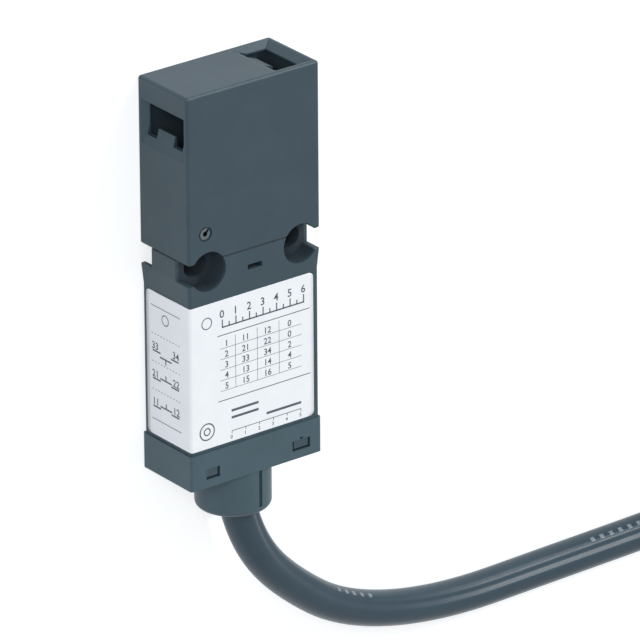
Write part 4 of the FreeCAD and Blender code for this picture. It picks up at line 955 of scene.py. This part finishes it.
@dataclass
class Cable:
    """Sheathed cable from the boss to a tied coil, and the stripped cores at its free end.

    The coil has two layers of two turns. Its plan is a list of stretches, each so many degrees
    long, that hold or change the radius (1 outer, 0 inner) and the layer (0 lower, 1 upper).
    """
    finishes: Finishes
    radius_mm: float = 3.5
    length_mm: float = 1000.0
    # the sheath's mesh, and the little that it draws in at a cut end
    sides: int = 72
    ring_step_mm: float = 2.0
    cut_mm: float = 0.5
    cut_share: float = 0.985
    # the crease: its middle and its width in shares of a turn, and its depth
    crease_share: float = 0.331
    crease_wide: float = 0.036
    crease_mm: float = 0.32
    coil_mm: float = 38.0
    control_degrees: float = 15.0
    # the tie: its strap's section, where round the coil it sits, how soon its line turns each
    # corner, the powers that square its shapes off, and half the size of its head
    tie_mm: float = 0.8
    tie_wide_mm: float = 3.0
    tie_angle: float = -45.0
    tie_turn: float = 12.0
    tie_power: float = 0.4
    tie_head_mm: tuple[float, float, float] = (1.0, 2.3, 2.3)
    tie_head_power: float = 0.3
    # the cores: radius, the ring that they leave the sheath on, and how they spread side by side
    core_mm: float = 0.7
    core_ring_mm: float = 1.9
    core_pitch_mm: float = 1.15
    core_gap_mm: float = 0.2
    core_step_mm: float = 0.9
    core_order: tuple[int, ...] = (3, 2, 4, 1, 5, 0)
    core_long_mm: float = 22.0
    core_inside_mm: float = 1.0
    core_settled: float = 0.8
    # their bare ends: radius, length, and turns of the strand per metre
    bare_mm: float = 0.4
    bare_long_mm: float = 5.0
    bare_inside_mm: float = 0.5
    bare_taper: float = 0.15
    bare_twist: float = 60.0
    exit_mm: tuple[float, float, float] = (0, -52.4, 7.5)
    route_mm: tuple = ((0, -37, 7.5), (0, -40, 7.5), (0, -50, 7.5), (4, -62, 7.5), (12, -71.7, 6.7),
                       (27, -83.1, 5.5), (50.5, -89.4, 4.2), (79, -89.4, 3.5), (105, -89.1, 3.5),
                       (132, -88.1, 3.7), (160, -85.9, 4.3))
    plan: tuple = ((300, 1, 1, 0, 0), (55, 1, 0, 0, 0), (245, 0, 0, 0, 0), (55, 0, 0, 0, 1),
                   (250, 0, 0, 1, 1), (55, 0, 1, 1, 1), (360, 1, 1, 1, 1))

    def __post_init__(self) -> None:
        """Works out the coil's centre, its two radii and where round it the laid stretch joins it."""
        route = np.array(self.route_mm, dtype=float)
        heading = unit((route[-1] - route[-2]) * (1, 1, 0))
        inward = np.array([-heading[1], heading[0], 0])
        self.route = route
        self.outer = self.coil_mm + self.radius_mm
        self.inner = self.coil_mm - self.radius_mm
        self.centre = route[-1] * (1, 1, 0) + inward * self.outer
        self.first = float(np.degrees(np.arctan2(-inward[1], -inward[0])))

    def turn(self, degrees: Array) -> Array:
        """Radius and height of the coil's centre line after so many degrees.

        Inside each stretch of the plan the radius and the layer go smoothly from its first value to
        its second.

        Args:
            degrees: how far round the coil.

        Returns:
            The radii and the heights, in millimetres.
        """
        radius = np.full(degrees.shape, float(self.outer))
        height = np.full(degrees.shape, self.route[-1][2])
        start = 0.0
        for sweep, out_a, out_b, up_a, up_b in self.plan:
            share = ease((degrees - start) / sweep)
            on = degrees >= start
            out = out_a + (out_b - out_a) * share
            up = up_a + (up_b - up_a) * share
            radius = np.where(on, self.inner + out * (self.outer - self.inner), radius)
            height = np.where(on, self.route[-1][2] + 2 * self.radius_mm * up, height)
            start += sweep
        return np.stack([radius, height])

    def spot(self, degrees: Array) -> Array:
        """Points of the coil's line: its radius at that angle about the centre, at its height.

        Args:
            degrees: how far round the coil.

        Returns:
            The points, in millimetres.
        """
        radius, height = self.turn(degrees)
        angle = np.radians(self.first + degrees)
        return self.centre + np.stack([radius * np.cos(angle), radius * np.sin(angle), height], axis=-1)

    def coil_degrees(self, before_mm: float) -> float:
        """Degrees of coil that use up the length left after the laid stretch.

        The line's length is summed over steps of half a degree, and the place where it reaches what
        is left is read off.

        Args:
            before_mm: length of the laid stretch.

        Returns:
            The degrees.
        """
        fine = np.arange(0, sum(stretch[0] for stretch in self.plan), 0.5)
        return float(np.interp(self.length_mm - before_mm, along(self.spot(fine)), fine))

    def centre_line(self) -> Array:
        """The cable's smooth line: a NURBS spline held by the route's and the coil's points.

        The coil's points stand a little outside its line, at its radius over the cosine of half a
        step, so that the spline touches the line between them.

        Returns:
            Points of the line, in metres.
        """
        self.end = self.coil_degrees(self.route_length())
        steps = np.linspace(0, self.end, int(round(self.end / self.control_degrees)) + 1)[1:]
        half = np.radians(steps[0]) / 2
        turns = self.spot(steps)
        turns[:, :2] = self.centre[:2] + (turns[:, :2] - self.centre[:2]) / np.cos(half)
        control = np.concatenate([self.route, turns]) * MM
        return self.nurbs("cable_line", control)

    def route_length(self) -> float:
        """Length of the laid stretch beyond the boss, in millimetres."""
        line = self.nurbs("route_line", self.route * MM) / MM
        return float(along(line)[-1] - (self.route[0][1] - self.exit_mm[1]))

    @staticmethod
    def nurbs(name: str, control: Array) -> Array:
        """Points of an open quadratic NURBS spline.

        Args:
            name: name for the curve while it is worked out.
            control: its control points, in metres.

        Returns:
            The points, in metres.
        """
        curve = bpy.data.curves.new(name, "CURVE")
        curve.dimensions = "3D"
        spline = curve.splines.new("NURBS")
        spline.points.add(len(control) - 1)
        spline.points.foreach_set("co", np.c_[control, np.ones(len(control))].ravel())
        spline.order_u = 3
        spline.use_endpoint_u = True
        spline.resolution_u = 10
        holder = bpy.data.objects.new(name, curve)
        bpy.context.scene.collection.objects.link(holder)
        mesh = bpy.data.meshes.new_from_object(holder)
        points = np.empty(len(mesh.vertices) * 3)
        mesh.vertices.foreach_get("co", points)
        bpy.data.objects.remove(holder)
        return points.reshape(-1, 3)

    def sheath(self, line: Array) -> bpy.types.Object:
        """The sheath: even rings along the line, with a small rounding at both cut ends.

        A crease runs along it. Its depth round the ring falls off as e to the power of minus the
        square of how many widths a point is off it, both counted in shares of a turn.

        Args:
            line: points of the cable's line, in metres.

        Returns:
            The sheath.
        """
        self.path = resample(line, int(along(line)[-1] / (self.ring_step_mm * MM)))
        run = along(self.path)
        end = np.minimum(run, run[-1] - run)
        radius = self.radius_mm * MM * np.where(end < self.cut_mm * MM, self.cut_share, 1.0)
        off = (np.linspace(0, 1, self.sides + 1) - self.crease_share) / self.crease_wide
        crease = self.crease_mm * MM * np.exp(-off ** 2)
        made = tube_mesh("cable_line_sheath", self.path, radius[:, None] - crease[None, :], self.sides)
        return place(made, self.finishes.sheath, "switch", "cable_pvc", "cable_sheath", "cable_coil")

    def tie(self) -> list[bpy.types.Object]:
        """The strap and its locking head.

        The strap's line is a rounded square about the four cables: a circle of the cable's radius
        carried to each corner, the factor on its cosine and sine saying how soon. Its section is a
        flat oval, its cosine and sine raised to a power below one.

        Returns:
            Both pieces.
        """
        angle = np.radians(self.tie_angle)
        out = np.array([np.cos(angle), np.sin(angle), 0])
        side = np.array([-np.sin(angle), np.cos(angle), 0])
        up = np.array([0, 0, 1.0])
        middle = self.centre + out * self.coil_mm + up * (self.tie_mm + 2 * self.radius_mm)
        turn = np.linspace(0, 2 * np.pi, 97)[:-1]
        corner = self.radius_mm + self.tie_mm / 2
        push = self.radius_mm * np.clip(np.stack([np.cos(turn), np.sin(turn)]) * self.tie_turn, -1, 1)
        line = np.stack([push[0] + corner * np.cos(turn), push[1] + corner * np.sin(turn)], axis=-1)
        away = np.stack([np.cos(turn), np.sin(turn)], axis=-1)
        lap = np.linspace(0, 2 * np.pi, 17)[:-1]
        thick = self.tie_mm / 2 * power(np.sin(lap), self.tie_power)
        wide = self.tie_wide_mm / 2 * power(np.cos(lap), self.tie_power)
        flat = line[:, None] + away[:, None] * thick[None, :, None]
        points = middle + flat[..., :1] * out + flat[..., 1:] * up + wide[None, :, None] * side
        strap = add_mesh("cable_tie_strap", points * MM, grid_faces(len(turn), len(lap), True, True))
        close_seams(strap)
        place(strap, self.finishes.tie, "switch", "tie_nylon", "cable_tie")
        head = self.tie_head(middle, out, side, up)
        return [strap, head]

    def tie_head(self, middle: Array, out: Array, side: Array, up: Array) -> bpy.types.Object:
        """The locking head: a superellipsoid, cosines and sines raised to a power below one.

        Args:
            middle: middle of the strap.
            out: direction away from the coil's centre.
            side: direction along the cable.
            up: direction away from the floor.

        Returns:
            The head.
        """
        a = np.linspace(-np.pi / 2, np.pi / 2, 25)[:, None]
        b = np.linspace(-np.pi, np.pi, 49)[None, :]
        deep, wide, tall = self.tie_head_mm
        x = deep * power(np.cos(a), self.tie_head_power) * power(np.cos(b), self.tie_head_power)
        y = wide * power(np.cos(a), self.tie_head_power) * power(np.sin(b), self.tie_head_power)
        z = tall * power(np.sin(a), self.tie_head_power) * np.ones_like(b)
        middle = middle + out * (2 * self.radius_mm + self.tie_mm + deep)
        points = middle + x[..., None] * out + y[..., None] * side + z[..., None] * up
        head = add_mesh("cable_tie_head", points * MM, grid_faces(*x.shape, False, False))
        close_seams(head)
        return place(head, self.finishes.tie, "switch", "tie_nylon")

    def cores(self) -> list[bpy.types.Object]:
        """The stripped cores, laid down on the lower turn, and their bare strands.

        Each core starts on a ring of six inside the sheath and goes smoothly to its own track on the
        fan, a diameter and a bit from the next, while it sinks on to the turn below.

        Returns:
            The insulation and the strand of each core.
        """
        made = []
        step = np.degrees(1 / self.outer)
        top = self.tie_mm + 2 * self.radius_mm + self.core_mm + self.core_gap_mm
        level = self.spot(np.array([self.end]))[0][2]
        for track, (number, core) in enumerate(zip(self.core_order, Core)):
            angle = np.radians(60 * number + 30)
            ring = self.core_ring_mm * np.array([np.cos(angle), np.sin(angle)])
            run = np.linspace(-self.core_inside_mm, self.core_long_mm, 40)
            share = ease(run / (self.core_long_mm * self.core_settled))
            offset = ring[0] * (1 - share) + (track - 2) * self.core_pitch_mm * share
            rise = ring[1] * (1 - share) + (top + self.core_step_mm * (track % 2) - level) * share
            path = self.fan(run * step, offset, rise)
            core_piece = tube_mesh("core_%d_insulation" % (track + 1), path,
                                   np.full(len(path), self.core_mm * MM), 14)
            made.append(place(core_piece, self.finishes.cores[core], "switch", "core_insulation",
                              *(("stripped_cores",) if track == 0 else ())))
            tail = np.linspace(self.core_long_mm - self.bare_inside_mm,
                               self.core_long_mm + self.bare_long_mm, 16)
            path = self.fan(tail * step, offset[-1:], rise[-1:])
            taper = 1 - self.bare_taper * np.linspace(0, 1, len(path)) ** 4
            strand = tube_mesh("core_%d_strand" % (track + 1), path, self.bare_mm * MM * taper, 12,
                               self.bare_twist)
            made.append(place(strand, self.finishes.strand, "switch", "tinned_copper",
                              *(("core_ends",) if track == 0 else ())))
        return made

    def fan(self, degrees: Array, offset: Array, rise: Array) -> Array:
        """Points past the cut sheath: on along the outer turn, moved outwards and up.

        Args:
            degrees: how far past the cut.
            offset: how far outwards, in millimetres.
            rise: how far up, in millimetres.

        Returns:
            The points, in metres.
        """
        angle = np.radians(self.first + self.end + degrees)
        reach = self.outer + offset
        level = self.spot(np.array([self.end]))[0][2]
        flat = np.broadcast_arrays(reach * np.cos(angle), reach * np.sin(angle), level + rise)
        return (self.centre + np.stack(flat, axis=-1)) * MM

    def build(self) -> None:
        """Sheath, tie and cores, built one after the other."""
        sheath = self.sheath(self.centre_line())
        pieces = self.tie() + self.cores()
        LOG.info("coil about %s mm, %.1f degrees, free end at %.1f degrees", self.centre.round(2), self.end,
                 self.first + self.end)


# ---------------------------------------------------------------- studio

def background_rays(made: bpy.types.Material | bpy.types.World) -> bpy.types.NodeSocket:
    """1 for rays that show the background, straight, mirrored or through something clear; else 0.

    Args:
        made: the material or world that gets the nodes.

    Returns:
        The 1 or 0.
    """
    rays = add_node(made, "ShaderNodeLightPath", {})
    two = add_node(made, "ShaderNodeMath", {0: rays.outputs["Is Camera Ray"],
                                            1: rays.outputs["Is Glossy Ray"]}, operation="MAXIMUM")
    three = add_node(made, "ShaderNodeMath", {0: two.outputs[0], 1: rays.outputs["Is Transmission Ray"]},
                     operation="MAXIMUM")
    return three.outputs[0]


@dataclass(frozen=True)
class Lamp:
    """A broad lamp far away: where its light comes from, how strong it is and how wide it looks."""
    name: str
    comes_from: tuple[float, float, float]
    energy: float
    wide: float

    def hang(self) -> None:
        """Adds the lamp to the scene, its own Z axis turned to where the light comes from."""
        data = bpy.data.lights.new(self.name, "SUN")
        data.energy = self.energy
        data.angle = np.radians(self.wide)
        lamp = bpy.data.objects.new(self.name, data)
        lamp.rotation_mode = "QUATERNION"
        lamp.rotation_quaternion = Vector(self.comes_from).to_track_quat("Z", "Y")
        bpy.context.scene.collection.objects.link(lamp)


@dataclass
class Studio:
    """Floor, soft lights and the camera."""
    place_mm: tuple[float, float, float] = (-859.86, 625.71, 1164.39)
    forward: tuple[float, float, float] = (0.55334, -0.40628, -0.72715)
    up: tuple[float, float, float] = (0.25135, 0.91373, -0.31926)
    lens_mm: float = 483.75
    sky_level: float = 0.47
    lamps: tuple[Lamp, ...] = (Lamp("top panel", (0.55, 0.77, 0.31), 0.8, 24),
                               Lamp("side panel", (0.55, 0.52, 0.65), 1.1, 10),
                               Lamp("front panel", (-0.62, 0.44, 0.65), 1.55, 24))
    floor_colour: str = "c4c8cc"
    floor_glow: float = 0.6
    # how many times the part's own diagonal the floor reaches, and how far it lies under the part
    # so that no faces coincide
    floor_boxes: float = 40.0
    floor_drop_mm: float = 0.01

    def camera(self) -> None:
        """A long lens, turned so that its own axes match the forward and up directions."""
        data = bpy.data.cameras.new("camera")
        data.lens = self.lens_mm
        data.clip_start = 0.1
        data.clip_end = 20
        camera = bpy.data.objects.new("camera", data)
        bpy.context.scene.collection.objects.link(camera)
        forward = Vector(self.forward).normalized()
        right = forward.cross(Vector(self.up)).normalized()
        up = right.cross(forward)
        turn = Matrix((right, up, -forward)).transposed().to_4x4()
        camera.matrix_world = Matrix.Translation(Vector(self.place_mm) * MM) @ turn
        bpy.context.scene.camera = camera

    def sky(self) -> None:
        """Plain light from all round, and a white background for what is seen or mirrored."""
        world = bpy.data.worlds.new("studio")
        world.use_nodes = True
        tree = world.node_tree
        tree.nodes.clear()
        light = add_node(world, "ShaderNodeBackground", {"Color": (1, 1, 1, 1), "Strength": self.sky_level})
        seen = add_node(world, "ShaderNodeBackground", {"Color": (1, 1, 1, 1), "Strength": 1.0})
        mix = add_node(world, "ShaderNodeMixShader", {0: background_rays(world), 1: light.outputs[0],
                                                      2: seen.outputs[0]})
        add_node(world, "ShaderNodeOutputWorld", {"Surface": mix.outputs[0]})
        bpy.context.scene.world = world

    def floor(self) -> None:
        """A pale floor that glows a little for what is seen of it, so that it goes white but for shadow."""
        low, high = CAD_BOX
        reach = self.floor_boxes * float((high - low).length)
        x, y = np.meshgrid(np.linspace(-reach, reach, 3), np.linspace(-reach, reach, 3), indexing="ij")
        points = np.stack([x, y, np.full_like(x, low.z - self.floor_drop_mm * MM)], axis=-1)
        floor = add_mesh("floor", points, grid_faces(3, 3, False, False)[:, ::-1])
        made = bpy.data.materials.new("painted studio floor")
        made.use_nodes = True
        made.node_tree.nodes.clear()
        paint = add_node(made, "ShaderNodeBsdfDiffuse", {"Color": linear(self.floor_colour)})
        level = add_node(made, "ShaderNodeMath", {0: background_rays(made), 1: self.floor_glow},
                         operation="MULTIPLY")
        glow = add_node(made, "ShaderNodeEmission", {"Color": (1, 1, 1, 1), "Strength": level.outputs[0]})
        both = add_node(made, "ShaderNodeAddShader", {0: paint.outputs[0], 1: glow.outputs[0]})
        add_node(made, "ShaderNodeOutputMaterial", {"Surface": both.outputs[0]})
        floor.data.materials.append(made)

    def build(self) -> None:
        """Camera, lights and floor."""
        bpy.context.scene.view_settings.view_transform = "Standard"
        self.camera()
        self.sky()
        for lamp in self.lamps:
            lamp.hang()
        self.floor()


def main() -> None:
    """Builds the switch in order: studio, cable, mechanism, label."""
    logging.basicConfig(level=logging.INFO, format="%(message)s")
    finishes = Finishes()
    Studio().build()
    Cable(finishes).build()
    Mechanism(finishes).build()
    Label(finishes).build()


if __name__ == "__main__":
    main()
